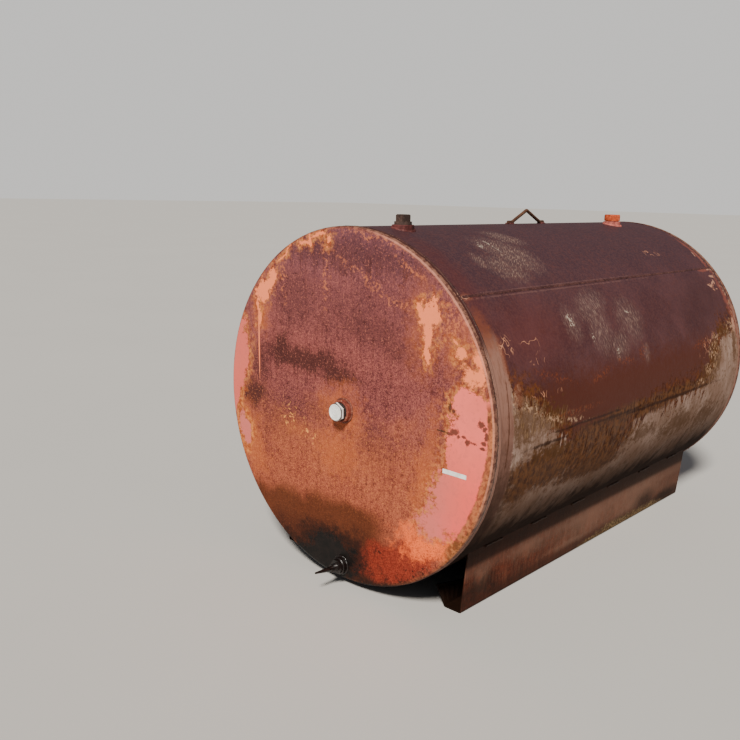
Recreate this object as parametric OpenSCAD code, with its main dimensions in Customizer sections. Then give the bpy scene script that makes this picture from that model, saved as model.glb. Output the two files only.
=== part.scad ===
// Horizontal cylindrical steel storage tank with flanged flat heads on two formed runners.
// Millimetres. +Z is up, +Y runs along the tank from the front head to the rear head,
// +X is the side that carries the longitudinal seam. The origin lies on the floor,
// below the middle of the whole outline.

/* [Shell] */
// Outside diameter of the rolled shell
shell_d = 1168; // [900:1:1500]
// Length over the faces of both heads
tank_len = 1856; // [1400:1:2600]
// Thickness of the shell and head sheet
sheet_t = 3; // [2:0.5:5]
// Height of the tank axis above the floor
axis_h = 610; // [600:1:800]
// Angle of the longitudinal seam above the horizontal
seam_angle = 43.8; // [30:0.1:60]
// Width of the longitudinal weld bead
seam_w = 9; // [5:0.5:14]
// Height of the longitudinal weld bead above the sheet
seam_h = 1.6; // [0.8:0.1:3]

/* [Heads] */
// How far the rim of a head stands outside the shell, on the radius
rim_proud = 2; // [0:0.5:5]
// Outside radius of the knuckle between the head's face and its flange
knuckle_r = 14; // [8:1:30]
// Distance from the face to the start of the joggle in the flange
rim_depth = 26; // [20:1:40]
// Length of the joggle that steps the flange in below the shell
joggle_len = 10; // [8:1:16]
// Length of flange that slips inside the shell
lap_len = 30; // [15:1:60]
// Clearance between the flange and the inside of the shell
lap_gap = 0.2; // [0.1:0.05:0.3]
// Radius of the bends in the joggle
joggle_r = 6; // [6:0.5:10]
// Radius of the weld bead round each head
girth_bead_r = 5; // [3:0.5:7]

/* [Pipe fittings] */
// Outside diameter of the large half couplings
collar_d = 72; // [66:1:90]
// Thread bore of the large half couplings
collar_bore = 57; // [50:0.5:62]
// Length of a large half coupling
collar_len = 34; // [28:1:45]
// Leg of the fillet weld round a large half coupling
collar_weld = 6; // [4:0.5:10]
// Broken edge at the mouth of a coupling
mouth_edge = 2; // [0.5:0.5:4]
// Clearance round a coupling in its hole
hole_gap = 0.2; // [0.1:0.05:0.4]
// Clearance on the radius between a plug's thread and its coupling
thread_gap = 0.2; // [0.1:0.05:0.4]

/* [Middle coupling and plug] */
// Height of the middle coupling relative to the tank axis
middle_dz = -2; // [-60:1:60]
// How far the middle coupling stands out of the head
middle_out = 20; // [14:1:30]
// Width across the flats of the plastic plug
middle_plug_flats = 55; // [46:1:62]
// Thickness of the plug's six-sided head
middle_plug_head = 17; // [8:1:26]
// Gap left between the plug's head and the coupling
middle_plug_gap = 4; // [2:0.5:10]
// Wall of the hollow plug
middle_plug_wall = 4; // [2:0.5:6]
// How far the plug's turned face stays inside its flats
middle_plug_turning = 0.5; // [0.2:0.1:2]

/* [Drain] */
// Height of the drain above the inside bottom of the shell
drain_rise = 44; // [34:1:90]
// Outside diameter of the drain coupling
drain_collar_d = 57; // [50:1:64]
// Thread bore of the drain coupling
drain_collar_bore = 42; // [36:0.5:44]
// How far the drain coupling stands out of the head
drain_out = 18; // [12:1:26]
// Length of the drain coupling
drain_collar_len = 30; // [24:1:40]
// Leg of the fillet weld round the drain coupling
drain_weld = 5; // [3:0.5:8]
// Width across the flats of the reducing bushing
bushing_flats = 44; // [41:1:50]
// Height of the bushing's six-sided collar
bushing_head = 9; // [5:1:14]
// Length of the bushing's thread inside the coupling
bushing_in = 16; // [10:1:18]
// Outside diameter of the drain nipple
nipple_d = 26.7; // [21:0.1:30]
// Bore of the drain nipple
nipple_bore = 20.9; // [15:0.1:23]
// How far the nipple stands out of the bushing
nipple_out = 20; // [16:1:60]
// Length of the nipple's thread inside the bushing
nipple_in = 23; // [14:1:24]
// Depth of the nipple's thread
nipple_thread = 0.7; // [0.4:0.1:1.2]
// Length of the spout's root inside the nipple
spout_in = 12; // [8:1:14]
// Length of the tapered spout beyond the nipple
spout_len = 74; // [40:1:90]
// Step between the spout's root and the start of its taper
spout_step = 1; // [0.5:0.1:3]
// Outside diameter of the spout at its tip
spout_tip_d = 6; // [5:0.5:10]
// Bore of the spout
spout_bore = 3; // [2:0.5:4]
// Upward slant of the spout
spout_rise = 6; // [0:1:15]

/* [Top fittings] */
// Distance of the fill and vent fittings from the crown line
fitting_x = 85; // [0:1:120]
// Distance of the fill fitting from the front face
fill_y = 165; // [120:1:400]
// Distance of the vent fitting from the front face
vent_y = 1545; // [1300:1:1700]
// How far the top couplings stand out of the shell
top_out = 14; // [10:1:22]
// Length of the fill plug's and the vent cap's thread inside the coupling
plug_in = 20; // [12:1:26]
// Width of the fill plug's square
square_w = 33; // [25:1:38]
// Height of the fill plug's square
square_h = 22; // [14:1:30]
// How much the turning takes off each corner of the square's top
square_turning = 3; // [1:0.5:6]
// Height of plug body between the coupling and the square
fill_body_h = 10; // [4:1:16]
// Width across the flats of the vent cap
vent_flats = 64; // [58:1:70]
// Height of the vent cap
vent_cap_h = 26; // [18:1:36]
// Height of the neck between the vent cap and its coupling
vent_neck = 3; // [1:0.5:8]
// How far the vent cap's turned top stays inside its flats
vent_turning = 2; // [0.5:0.5:6]

/* [Lifting lug] */
// Diameter of the bent bar
lug_bar_d = 12.7; // [8:0.1:16]
// Radius of the bar's bends at its centre line
lug_bend_r = 11; // [9:0.5:16]
// Height of the apex of the bar above the shell
lug_h = 58; // [40:1:90]
// Distance between the bends at the feet
lug_span = 196; // [120:1:260]
// Length of each foot
lug_foot = 26; // [16:1:40]
// Distance of the lug from the front face
lug_y = 1000; // [800:1:1100]

/* [Runners] */
// Distance between the outer faces of the two runners at the floor
runner_w = 816; // [600:1:820]
// Length of a runner
runner_len = 1602; // [1200:1:1650]
// Distance from the front face to the front ends of the runners
runner_front = 127; // [90:1:160]
// Thickness of the runner plate
runner_t = 4.8; // [3:0.1:8]
// Width of the runner's sole
sole_w = 70; // [50:1:100]
// Height of the inner lip
lip_h = 66; // [40:1:80]
// Outward lean of the outer web
web_lean = 5; // [0:0.5:8]
// Outside radius of the press bends
bend_r = 9; // [6:0.5:14]
// Length of the splayed front end of the inner lip
splay_len = 80; // [40:1:120]
// How far the top of the lip is splayed inwards at the front end
splay_w = 33; // [10:1:40]
// Number of stitch welds along each runner
stitch_count = 6; // [3:1:8]
// Length of each stitch weld
stitch_len = 90; // [50:1:150]
// Leg of the stitch welds
stitch_leg = 6; // [4:0.5:8]

/* [Hidden] */
$fn = 96;
// Facets of the large rounds
round_fn = 720;

shell_r = shell_d / 2;
shell_ri = shell_r - sheet_t;
rim_r = shell_r + rim_proud;
flange_r = shell_ri - lap_gap;
shell_y0 = rim_depth + joggle_len;
shell_y1 = tank_len - shell_y0;
collar_r = collar_d / 2;
middle_z = axis_h + middle_dz;
drain_z = axis_h - shell_ri + drain_rise;
fitting_top = sqrt(pow(shell_r, 2) - pow(fitting_x, 2));
nipple_y = -drain_out - bushing_head - nipple_out;
nipple_thread_r = nipple_d / 2 - nipple_thread;
// Depth inside the nipple's mouth at which the slanted spout starts
spout_start = 2;
// Share of its leg at which a fillet weld's crown stands
crown = 0.6;
front_reach = (spout_len + spout_start) * cos(spout_rise) + spout_tip_d / 2 * sin(spout_rise)
    - spout_start - nipple_y;
// The front face stands this far in front of the origin
face_y = (front_reach - tank_len) / 2;
half_runner = runner_w / 2;
overlap = 1;
// The bar of the lug is thicker by this much at its bends
bend_swell = 0.1;
// Length of straight bar that laps into a bend
bar_lap = 0.5;
// Where a lug bead starts and ends round the bar, in degrees from the horizontal
bead_top = -8;
bead_foot = -62;
// Height at which a runner's web is drawn above the floor, before the shell trims it
web_top = axis_h / 2;
// Steps in which the runner's lip is splayed
splay_steps = 4;

rust_paint = "#6b3a37";
shell_paint = "#573a3c";
weld_metal = "#7a4436";
plastic = "#e9ebe8";
oily = "#2b2224";
rusty = "#a5532f";
runner_paint = "#4a2c28";
plug_iron = "#5b4a46";

// Turns a lathe profile's axis from Z to Y
module along_y() {
    rotate([-90, 0, 0]) children();
}

// Places children on the tank's axis, at a distance from the front face
module on_axis(y = 0) {
    translate([0, face_y + y, axis_h]) along_y() children();
}

// Moves a profile drawn for the front end to the rear end, facing the other way
module at_rear() {
    translate([0, 2 * face_y + tank_len, 0]) mirror([0, 1, 0]) children();
}

function turned(v, a) = [v[0] * cos(a) - v[1] * sin(a), v[0] * sin(a) + v[1] * cos(a)];
function left_of(v) = [-v[1], v[0]];
function side_of(a, b) = sign(a[0] * b[1] - a[1] * b[0]);
function heading(p, i) = (p[i + 1] - p[i]) / norm(p[i + 1] - p[i]);

// Points of the arc that rounds one corner of a path, with radius r
function corner_arc(p, a, b, r, steps) =
    let (th = acos(a * b), s = side_of(a, b), c = p - a * r * tan(th / 2) + s * r * left_of(a))
    [for (k = [0:steps]) c - s * r * turned(left_of(a), s * th * k / steps)];

// Corner of a path moved sideways by t
function moved_corner(p, a, b, t) = p + (left_of(a) + left_of(b)) * t / (1 + a * b);

// One face of a bent sheet: the path moved sideways by t, its corners rounded.
// radii are those of the outer face of the sheet at each inner corner of the path.
function sheet_face(p, radii, t, steps) = [
    p[0] + left_of(heading(p, 0)) * t,
    for (i = [1:len(p) - 2])
        let (a = heading(p, i - 1), b = heading(p, i), r = radii[i - 1] - side_of(a, b) * t)
        each corner_arc(moved_corner(p[i], a, b, t), a, b, r, steps),
    p[len(p) - 1] + left_of(heading(p, len(p) - 2)) * t
];

// Points of an arc about a centre, from angle a to angle b
function arc(c, r, a, b, steps) =
    [for (k = [0:steps]) let (t = a + (b - a) * k / steps) [c[0] + r * cos(t), c[1] + r * sin(t)]];

function backwards(p) = [for (i = [len(p) - 1:-1:0]) p[i]];

// Closed outline of a sheet bent along a path, with its thickness on the left of the path
function bent_sheet(p, radii, t, steps = 6) =
    concat(sheet_face(p, radii, 0, steps), backwards(sheet_face(p, radii, t, steps)));

// Radius and depth of the head's sheet, from its middle to the end of its flange
head_path = [
    [0, 0], [rim_r, 0], [rim_r, rim_depth], [flange_r, shell_y0], [flange_r, shell_y0 + lap_len]
];
head_radii = [knuckle_r, joggle_r, joggle_r];

module head_blank() {
    rotate_extrude($fn = round_fn) polygon(bent_sheet(head_path, head_radii, sheet_t));
}

// Hole for a coupling through the front head
module head_hole(r, z) {
    translate([0, face_y - overlap, z]) along_y() cylinder(r = r, h = sheet_t + 2 * overlap);
}

module shell() {
    color(shell_paint) difference() {
        on_axis(shell_y0) difference() {
            cylinder(r = shell_r, h = shell_y1 - shell_y0, $fn = round_fn);
            translate([0, 0, -overlap])
                cylinder(r = shell_ri, h = shell_y1 - shell_y0 + 2 * overlap, $fn = round_fn);
        }
        for (y = [fill_y, vent_y])
            translate([fitting_x, face_y + y, axis_h])
                cylinder(r = collar_r + hole_gap, h = shell_r + overlap);
    }
}

// Raised bead along the longitudinal joint of the shell, its foot on the curve of the shell
module shell_seam_weld() {
    half = asin(seam_w / 2 / shell_r);
    foot_x = shell_r * cos(half);
    rise = shell_r + seam_h - foot_x;
    bead_r = (pow(seam_w / 2, 2) + pow(rise, 2)) / (2 * rise);
    swing = asin(seam_w / 2 / bead_r);
    y0 = shell_y0 + girth_bead_r;
    color(weld_metal) on_axis(y0) rotate([0, 0, -seam_angle]) linear_extrude(tank_len - 2 * y0)
        polygon(concat(
            arc([0, 0], shell_r, half, -half, 4),
            arc([foot_x + rise - bead_r, 0], bead_r, -swing, swing, 12)
        ));
}

module front_head() {
    color(rust_paint) difference() {
        on_axis() head_blank();
        head_hole(collar_r + hole_gap, middle_z);
        head_hole(drain_collar_d / 2 + hole_gap, drain_z);
    }
}

module rear_head() {
    color(rust_paint) at_rear() on_axis() head_blank();
}

// Bead that fills the groove between the rim of a head and the edge of the shell
module girth_weld() {
    color(weld_metal) on_axis() rotate_extrude($fn = round_fn) difference() {
        translate([shell_r - sheet_t / 2, shell_y0 - girth_bead_r / 2]) circle(r = girth_bead_r, $fn = 32);
        polygon(concat(sheet_face(head_path, head_radii, 0, 6), [[0, shell_y0 + lap_len]]));
        translate([0, shell_y0]) square([shell_r, lap_len]);
    }
}

module front_girth_weld() {
    girth_weld();
}

module rear_girth_weld() {
    at_rear() girth_weld();
}

// Half coupling: a short thick tube with broken edges, its mouth at z = out
module half_coupling(d, bore, length, out) {
    r = d / 2;
    translate([0, 0, out]) rotate_extrude() polygon([
        [bore / 2 + mouth_edge, 0], [r - mouth_edge, 0], [r, -mouth_edge], [r, -length],
        [bore / 2, -length], [bore / 2, -mouth_edge]
    ]);
}

// Fillet weld round a coupling on a flat sheet at z = 0, slightly crowned
module ring_fillet(r, leg) {
    rotate_extrude() polygon([[r, 0], [r + leg, 0], [r + crown * leg, crown * leg], [r, leg]]);
}

// Places children on the front head, with +Z pointing out of the face
module on_face(z) {
    translate([0, face_y, z]) rotate([90, 0, 0]) children();
}

module middle_coupling() {
    color(rust_paint) on_face(middle_z) half_coupling(collar_d, collar_bore, collar_len, middle_out);
}

module middle_coupling_weld() {
    color(weld_metal) on_face(middle_z) ring_fillet(collar_r, collar_weld);
}

// Hollow plastic plug: a six-sided head with a turned face on a thin threaded skirt
module middle_plug() {
    base = middle_out + middle_plug_gap;
    skirt_r = collar_bore / 2 - thread_gap;
    across = middle_plug_flats / cos(30);
    face_r = middle_plug_flats / 2 - middle_plug_turning;
    color(plastic) on_face(middle_z) {
        intersection() {
            translate([0, 0, base]) rotate(90) cylinder(d = across, h = middle_plug_head, $fn = 6);
            translate([0, 0, base]) cylinder(r1 = face_r + middle_plug_head, r2 = face_r,
                h = middle_plug_head);
        }
        difference() {
            translate([0, 0, middle_out - collar_len + overlap])
                cylinder(r = skirt_r, h = collar_len + middle_plug_gap - overlap);
            translate([0, 0, middle_out - collar_len])
                cylinder(r = skirt_r - middle_plug_wall, h = collar_len - overlap);
        }
    }
}

module drain_coupling() {
    color(oily) on_face(drain_z)
        half_coupling(drain_collar_d, drain_collar_bore, drain_collar_len, drain_out);
}

module drain_coupling_weld() {
    color(oily) on_face(drain_z) ring_fillet(drain_collar_d / 2, drain_weld);
}

// Reducing bushing between the coupling and the nipple
module drain_bushing() {
    color(oily) on_face(drain_z) difference() {
        union() {
            translate([0, 0, drain_out - bushing_in])
                cylinder(r = drain_collar_bore / 2 - thread_gap, h = bushing_in);
            translate([0, 0, drain_out]) cylinder(d = bushing_flats / cos(30), h = bushing_head, $fn = 6);
        }
        translate([0, 0, drain_out - bushing_in - overlap])
            cylinder(r = nipple_thread_r + thread_gap, h = bushing_in + bushing_head + 2 * overlap);
    }
}

// Short pipe, its inner end threaded into the bushing up to the shoulder
module drain_nipple() {
    color(oily) translate([0, face_y + nipple_y, drain_z]) along_y() difference() {
        union() {
            cylinder(d = nipple_d, h = nipple_out);
            cylinder(r = nipple_thread_r, h = nipple_out + nipple_in);
        }
        translate([0, 0, -overlap]) cylinder(d = nipple_bore, h = nipple_out + nipple_in + 2 * overlap);
    }
}

// Tapered spout pushed into the mouth of the nipple
module drain_spout() {
    root_r = nipple_bore / 2 - thread_gap;
    color(oily) translate([0, face_y + nipple_y, drain_z]) difference() {
        union() {
            along_y() cylinder(r = root_r, h = spout_in);
            translate([0, spout_start, 0]) rotate([90 - spout_rise, 0, 0])
                cylinder(r1 = root_r - spout_step, r2 = spout_tip_d / 2, h = spout_len + spout_start);
        }
        translate([0, 2 * spout_start, 0]) rotate([90 - spout_rise, 0, 0])
            cylinder(d = spout_bore, h = spout_len + 3 * spout_start);
        translate([0, 1.5 * spout_start, 0]) along_y() cylinder(d = 2 * spout_bore, h = spout_in);
    }
}

// Places children over a top fitting's hole, at the height of the shell there
module on_top(y) {
    translate([fitting_x, face_y + y, axis_h + fitting_top]) children();
}

// Fillet weld whose foot follows the curve of the shell
module saddle_weld(y) {
    difference() {
        on_top(y) translate([0, 0, -collar_weld]) rotate_extrude() polygon([
            [collar_r, 0], [collar_r + collar_weld, 0], [collar_r + collar_weld, collar_weld],
            [collar_r + crown * collar_weld, (1 + crown) * collar_weld], [collar_r, 2 * collar_weld]
        ]);
        on_axis() cylinder(r = shell_r, h = tank_len, $fn = round_fn);
    }
}

module fill_coupling() {
    color(rust_paint) on_top(fill_y) half_coupling(collar_d, collar_bore, collar_len, top_out);
}

module fill_coupling_weld() {
    color(weld_metal) saddle_weld(fill_y);
}

// Pipe plug with a square head, the corners of its top turned off
module fill_plug() {
    corner_r = square_w / sqrt(2) - square_turning;
    color(plug_iron) on_top(fill_y) {
        translate([0, 0, top_out - plug_in])
            cylinder(r = collar_bore / 2 - thread_gap, h = plug_in + fill_body_h);
        translate([0, 0, top_out + fill_body_h]) intersection() {
            translate([0, 0, square_h / 2]) cube([square_w, square_w, square_h], center = true);
            cylinder(r1 = corner_r + square_h, r2 = corner_r, h = square_h);
        }
    }
}

module vent_coupling() {
    color(rusty) on_top(vent_y) half_coupling(collar_d, collar_bore, collar_len, top_out);
}

module vent_coupling_weld() {
    color(weld_metal) saddle_weld(vent_y);
}

// Six-sided cap with a bevelled top, on a threaded neck
module vent_cap() {
    top_r = vent_flats / 2 - vent_turning;
    color(rusty) on_top(vent_y) {
        translate([0, 0, top_out - plug_in])
            cylinder(r = collar_bore / 2 - thread_gap, h = plug_in + vent_neck);
        intersection() {
            translate([0, 0, top_out + vent_neck]) cylinder(d = vent_flats / cos(30), h = vent_cap_h, $fn = 6);
            translate([0, 0, top_out + vent_neck])
                cylinder(r1 = top_r + vent_cap_h, r2 = top_r, h = vent_cap_h);
        }
    }
}

// Turns a shape drawn with X along the tank and Y upwards into the lug's upright plane
module in_lug_plane() {
    rotate([90, 0, 90]) children();
}

// Straight stretch of round bar between two points of the lug's plane
module bar(a, b) {
    in_lug_plane() translate([a[0], a[1], 0]) rotate([0, 90, atan2(b[1] - a[1], b[0] - a[0])])
        cylinder(d = lug_bar_d, h = norm(b - a));
}

// Bend of the bar at point p, from direction a to direction b, swollen a little by the bending
module bar_bend(p, a, b) {
    side = side_of(a, b);
    turn = acos(a * b);
    centre = p - a * lug_bend_r * tan(turn / 2) + side * lug_bend_r * left_of(a);
    from = -side * left_of(a);
    in_lug_plane() translate([centre[0], centre[1], 0]) rotate(atan2(from[1], from[0]))
        rotate_extrude(angle = side * turn) translate([lug_bend_r, 0])
            circle(r = lug_bar_d / 2 + bend_swell, $fn = 32);
}

// Bar bent to an upside-down V, with a foot at each end
module lifting_lug() {
    low = lug_bar_d / 2;
    path = [
        [-lug_span / 2 - lug_foot, low], [-lug_span / 2, low], [0, lug_h - low],
        [lug_span / 2, low], [lug_span / 2 + lug_foot, low]
    ];
    dirs = [for (i = [0:3]) heading(path, i)];
    cut = [0, for (i = [1:3]) lug_bend_r * tan(acos(dirs[i - 1] * dirs[i]) / 2) - bar_lap, 0];
    color(rust_paint) translate([0, face_y + lug_y, axis_h + shell_r + bend_swell]) {
        for (i = [0:3]) bar(path[i] + dirs[i] * cut[i], path[i + 1] - dirs[i] * cut[i + 1]);
        for (i = [1:3]) bar_bend(path[i], dirs[i - 1], dirs[i]);
    }
}

// Bead along one side of a foot of the lug, in the corner between the bar and the shell
function lug_bead() =
    let (inner = asin(lug_bar_d / 4 / shell_r), outer = asin(lug_bar_d / shell_r))
    concat(
        arc([0, -shell_r], shell_r, 90 - inner, 90 - outer, 2),
        arc([0, lug_bar_d / 2 + bend_swell], lug_bar_d / 2, bead_top, bead_foot, 8)
    );

// Beads along both sides of one foot of the lug
module lug_weld(dir) {
    mid = dir * (lug_span + lug_foot) / 2;
    color(weld_metal) translate([0, face_y + lug_y + mid, axis_h + shell_r]) rotate([90, 0, 0])
        linear_extrude(lug_foot, center = true) for (side = [-1, 1])
            scale([side, 1]) polygon(lug_bead());
}

module lug_front_weld() {
    lug_weld(-1);
}

module lug_rear_weld() {
    lug_weld(1);
}

// Path of a runner's outer face across its section: down the web, along the sole, up the lip
function runner_path(top) = [
    [half_runner + tan(web_lean) * web_top, web_top], [half_runner, 0],
    [half_runner - sole_w, 0], [half_runner - sole_w, top]
];

// Length of runner with a given height of lip, starting at a distance from its front end
module runner_length(top, start, length) {
    translate([0, face_y + runner_front + start + length, 0]) rotate([90, 0, 0])
        linear_extrude(length) polygon(bent_sheet(runner_path(top), [bend_r, bend_r], -runner_t, 4));
}

// Thin slice of the lip alone, leaning inwards by the given amount at its top
module lip_slice(lean, start) {
    x = half_runner - sole_w;
    slice = 0.1;
    translate([0, face_y + runner_front + start + slice, 0]) rotate([90, 0, 0]) linear_extrude(slice)
        polygon([
            [x, bend_r], [x - lean, lip_h], [x - lean + runner_t, lip_h], [x + runner_t, bend_r]
        ]);
}

// Bent plate: outer web cut to the curve of the shell, sole, and inner lip splayed at the front
module runner() {
    color(runner_paint) difference() {
        union() {
            runner_length(lip_h, splay_len, runner_len - splay_len);
            runner_length(bend_r + overlap, 0, splay_len);
            for (i = [0:splay_steps - 1]) hull() {
                lip_slice(splay_w * (1 - i / splay_steps), splay_len * i / splay_steps);
                lip_slice(splay_w * (1 - (i + 1) / splay_steps), splay_len * (i + 1) / splay_steps);
            }
        }
        on_axis() cylinder(r = shell_r, h = tank_len, $fn = round_fn);
    }
}

module right_runner() {
    runner();
}

module left_runner() {
    mirror([1, 0, 0]) runner();
}

// Height at which the outer face of the web meets the shell: the lower root of the
// crossing of the leaning face with the circle of the shell
web_slope = tan(web_lean);
cross_b = web_slope * half_runner - axis_h;
cross_c = pow(half_runner, 2) + pow(axis_h, 2) - pow(shell_r, 2);
web_z = (-cross_b - sqrt(pow(cross_b, 2) - (1 + pow(web_slope, 2)) * cross_c)) / (1 + pow(web_slope, 2));
web_x = half_runner + web_slope * web_z;

// Stitch welds in the corner between the outer face of the web and the shell
module runner_stitches() {
    pitch = runner_len / stitch_count;
    color(weld_metal) for (i = [0:stitch_count - 1])
        translate([0, face_y + runner_front + pitch * (i + 0.5) + stitch_len / 2, 0]) rotate([90, 0, 0])
            linear_extrude(stitch_len) difference() {
                translate([web_x, web_z]) circle(r = stitch_leg, $fn = 32);
                translate([0, axis_h]) circle(r = shell_r, $fn = round_fn);
                polygon([[0, 0], [half_runner, 0], [half_runner + web_slope * axis_h, axis_h], [0, axis_h]]);
            }
}

module right_runner_welds() {
    runner_stitches();
}

module left_runner_welds() {
    mirror([1, 0, 0]) runner_stitches();
}

shell();
shell_seam_weld();
front_head();
rear_head();
front_girth_weld();
rear_girth_weld();
middle_coupling();
middle_coupling_weld();
middle_plug();
drain_coupling();
drain_coupling_weld();
drain_bushing();
drain_nipple();
drain_spout();
fill_coupling();
fill_coupling_weld();
fill_plug();
vent_coupling();
vent_coupling_weld();
vent_cap();
lifting_lug();
lug_front_weld();
lug_rear_weld();
right_runner();
left_runner();
right_runner_welds();
left_runner_welds();
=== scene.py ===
# %% [markdown]
# # A rusted horizontal storage tank
# The tank's solids come from the CAD model as a fixed frame: a rolled shell, two pressed heads,
# pipe fittings, a lifting lug and two runners. Blender's work here is the look. Almost all of it
# is in the finishes, because an old steel tank is mostly paint, rust, oil and scrapes. A few thin
# things are modelled as well: weld beads with ripples, pipe threads and a bare label.

# %% Load the frame
import math
from functools import partial

import bmesh
import bpy
from mathutils import Matrix, Vector
from mathutils import noise as field


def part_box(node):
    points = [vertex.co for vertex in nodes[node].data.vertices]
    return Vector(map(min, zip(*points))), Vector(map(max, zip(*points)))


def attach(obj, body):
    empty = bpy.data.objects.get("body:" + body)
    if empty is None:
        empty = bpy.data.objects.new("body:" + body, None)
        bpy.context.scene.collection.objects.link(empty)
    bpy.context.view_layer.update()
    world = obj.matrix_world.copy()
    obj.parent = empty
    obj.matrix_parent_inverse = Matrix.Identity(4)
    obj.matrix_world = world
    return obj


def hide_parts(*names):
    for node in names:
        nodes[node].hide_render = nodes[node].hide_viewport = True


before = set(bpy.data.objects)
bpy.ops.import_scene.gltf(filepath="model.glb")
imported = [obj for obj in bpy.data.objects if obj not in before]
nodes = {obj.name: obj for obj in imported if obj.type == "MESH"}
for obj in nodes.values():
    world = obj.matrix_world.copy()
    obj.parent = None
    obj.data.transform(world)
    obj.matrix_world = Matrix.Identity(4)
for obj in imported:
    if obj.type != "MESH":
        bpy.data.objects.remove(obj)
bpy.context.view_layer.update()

# %% [markdown]
# ## Sizes taken from the frame
# Every pattern below is placed in metres on the tank itself, so a handful of sizes is measured
# from the CAD nodes first. The front face lies at the head's lowest Y, the tank's axis runs
# along Y half way up the head, and the shell's radius is half its width.

# %% Measure the tank
def middle(node):
    low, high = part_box(node)
    return [(a + b) / 2 for a, b in zip(low, high)]


def half_width(node):
    low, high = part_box(node)
    return (high[0] - low[0]) / 2


face_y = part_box("front_head")[0][1]
back_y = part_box("rear_head")[1][1]
axis_z = middle("front_head")[2]
shell_r = half_width("shell")
print("face at", round(face_y, 4), "axis at", round(axis_z, 4), "shell radius", round(shell_r, 4))

# %% [markdown]
# ## Writing shader nodes in code
# A material is a graph of nodes. Clicking it together in the Shader Editor and typing it out come
# to the same graph, and typing makes it repeatable. As in the editor, one tree is open at a time,
# and every helper adds its nodes to that one: put() adds a node, sets its options, and links each
# socket or gives it a value. Colours are written as the eye sees them, in hex, and turned into the
# linear numbers that a shader wants.

# %% Helpers for shader nodes
editor = {}


def open_tree(tree):
    tree.nodes.clear()
    editor["tree"] = tree


def colour(hex_code):
    parts = [int(hex_code[i:i + 2], 16) / 255 for i in (1, 3, 5)]
    linear = [c / 12.92 if c <= 0.04045 else ((c + 0.055) / 1.055) ** 2.4 for c in parts]
    return (*linear, 1.0)


def feed(socket, value):
    if isinstance(value, bpy.types.NodeSocket):
        editor["tree"].links.new(value, socket)
    else:
        socket.default_value = value


def put(kind, sockets=None, **options):
    node = editor["tree"].nodes.new("ShaderNode" + kind)
    for name, value in options.items():
        setattr(node, name, value)
    for key, value in (sockets or {}).items():
        feed(node.inputs[key], value)
    return node


print("node helpers ready")

# %% [markdown]
# ## Sums, noises and colours
# Masks are worked out with Math nodes, so the sums that come back most get short names: partial()
# makes each of them from maths() by filling in the operation, and larger() is MAXIMUM. spread()
# is a soft step: it turns a range of values into 0 to 1. shifted() moves a value about by a noise,
# whose middle is 0.5. blend() lays one colour over another through a mask, tint() does so with less
# than its full strength, and two_tone() runs from a dark colour to a light one.

# %% Helpers for sums, noises and colours
def maths(operation, *values, clamp=False):
    return put("Math", dict(enumerate(values)), operation=operation, use_clamp=clamp).outputs[0]


times, over, minus, larger, times_plus = (
    partial(maths, name) for name in ("MULTIPLY", "DIVIDE", "SUBTRACT", "MAXIMUM", "MULTIPLY_ADD"))


def shifted(value, by_noise, amount):
    return times_plus(minus(by_noise, 0.5), amount, value)


def spread(value, low, high, to_low=0.0, to_high=1.0):
    sockets = {"Value": value, "From Min": low, "From Max": high, "To Min": to_low, "To Max": to_high}
    return put("MapRange", sockets, interpolation_type="SMOOTHSTEP").outputs[0]


def noise(vector, scale, detail=4.0, roughness=0.6):
    sockets = {"Vector": vector, "Scale": scale, "Detail": detail, "Roughness": roughness}
    return put("TexNoise", sockets).outputs["Fac"]


def object_point():
    return put("TexCoord").outputs["Object"]


def split(vector):
    return put("SeparateXYZ", {0: vector}).outputs


def flat_point(across, up):
    return put("CombineXYZ", {"X": across, "Y": up}).outputs[0]


def distance(vector):
    return put("VectorMath", {0: vector}, operation="LENGTH").outputs["Value"]


def blend_value(mask, below, above):
    return put("Mix", {0: mask, 2: below, 3: above}).outputs[0]


def blend(mask, below, above):
    node = put("Mix", data_type="RGBA")
    for key, value in (("Factor", mask), ("A", below), ("B", above)):
        feed(next(s for s in node.inputs if s.name == key and s.enabled), value)
    return next(s for s in node.outputs if s.enabled)


def tint(base, mask, amount, tone):
    return blend(times(mask, amount), base, colour(tone) if isinstance(tone, str) else tone)


def two_tone(value, low, high, dark, light):
    return blend(spread(value, low, high), colour(dark), colour(light))


print("sum and colour helpers ready")

# %% [markdown]
# ## Shared effects as node groups
# Paint, rust and dirt come back in every finish, so each effect is built once as a node group with
# named inputs, like a stamp that is pressed with other values each time. A group gives out only
# masks and coordinates. The shader itself stays in each material. In the functions that build the
# groups, i holds a group's inputs and o its outputs. An input without a value is a vector.

# %% Helpers that start a node group and use it
VECTORS = ("Sheet", "Point")


def start_group(name, inputs, *outputs):
    tree = bpy.data.node_groups.new(name, "ShaderNodeTree")
    open_tree(tree)
    for label, value in inputs.items():
        kind = "NodeSocketVector" if value is None else "NodeSocketFloat"
        socket = tree.interface.new_socket(label, in_out="INPUT", socket_type=kind)
        if value is not None:
            socket.default_value = value
    for label in outputs:
        kind = "NodeSocketVector" if label in VECTORS else "NodeSocketFloat"
        tree.interface.new_socket(label, in_out="OUTPUT", socket_type=kind)
    return tree, tree.nodes.new("NodeGroupInput").outputs, tree.nodes.new("NodeGroupOutput").inputs


def give(outputs, **values):
    for name, value in values.items():
        feed(outputs[name], value)


def stamp(group, **sockets):
    return put("Group", {key.replace("_", " "): value for key, value in sockets.items()}, node_tree=group).outputs


print("group helpers ready")

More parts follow.
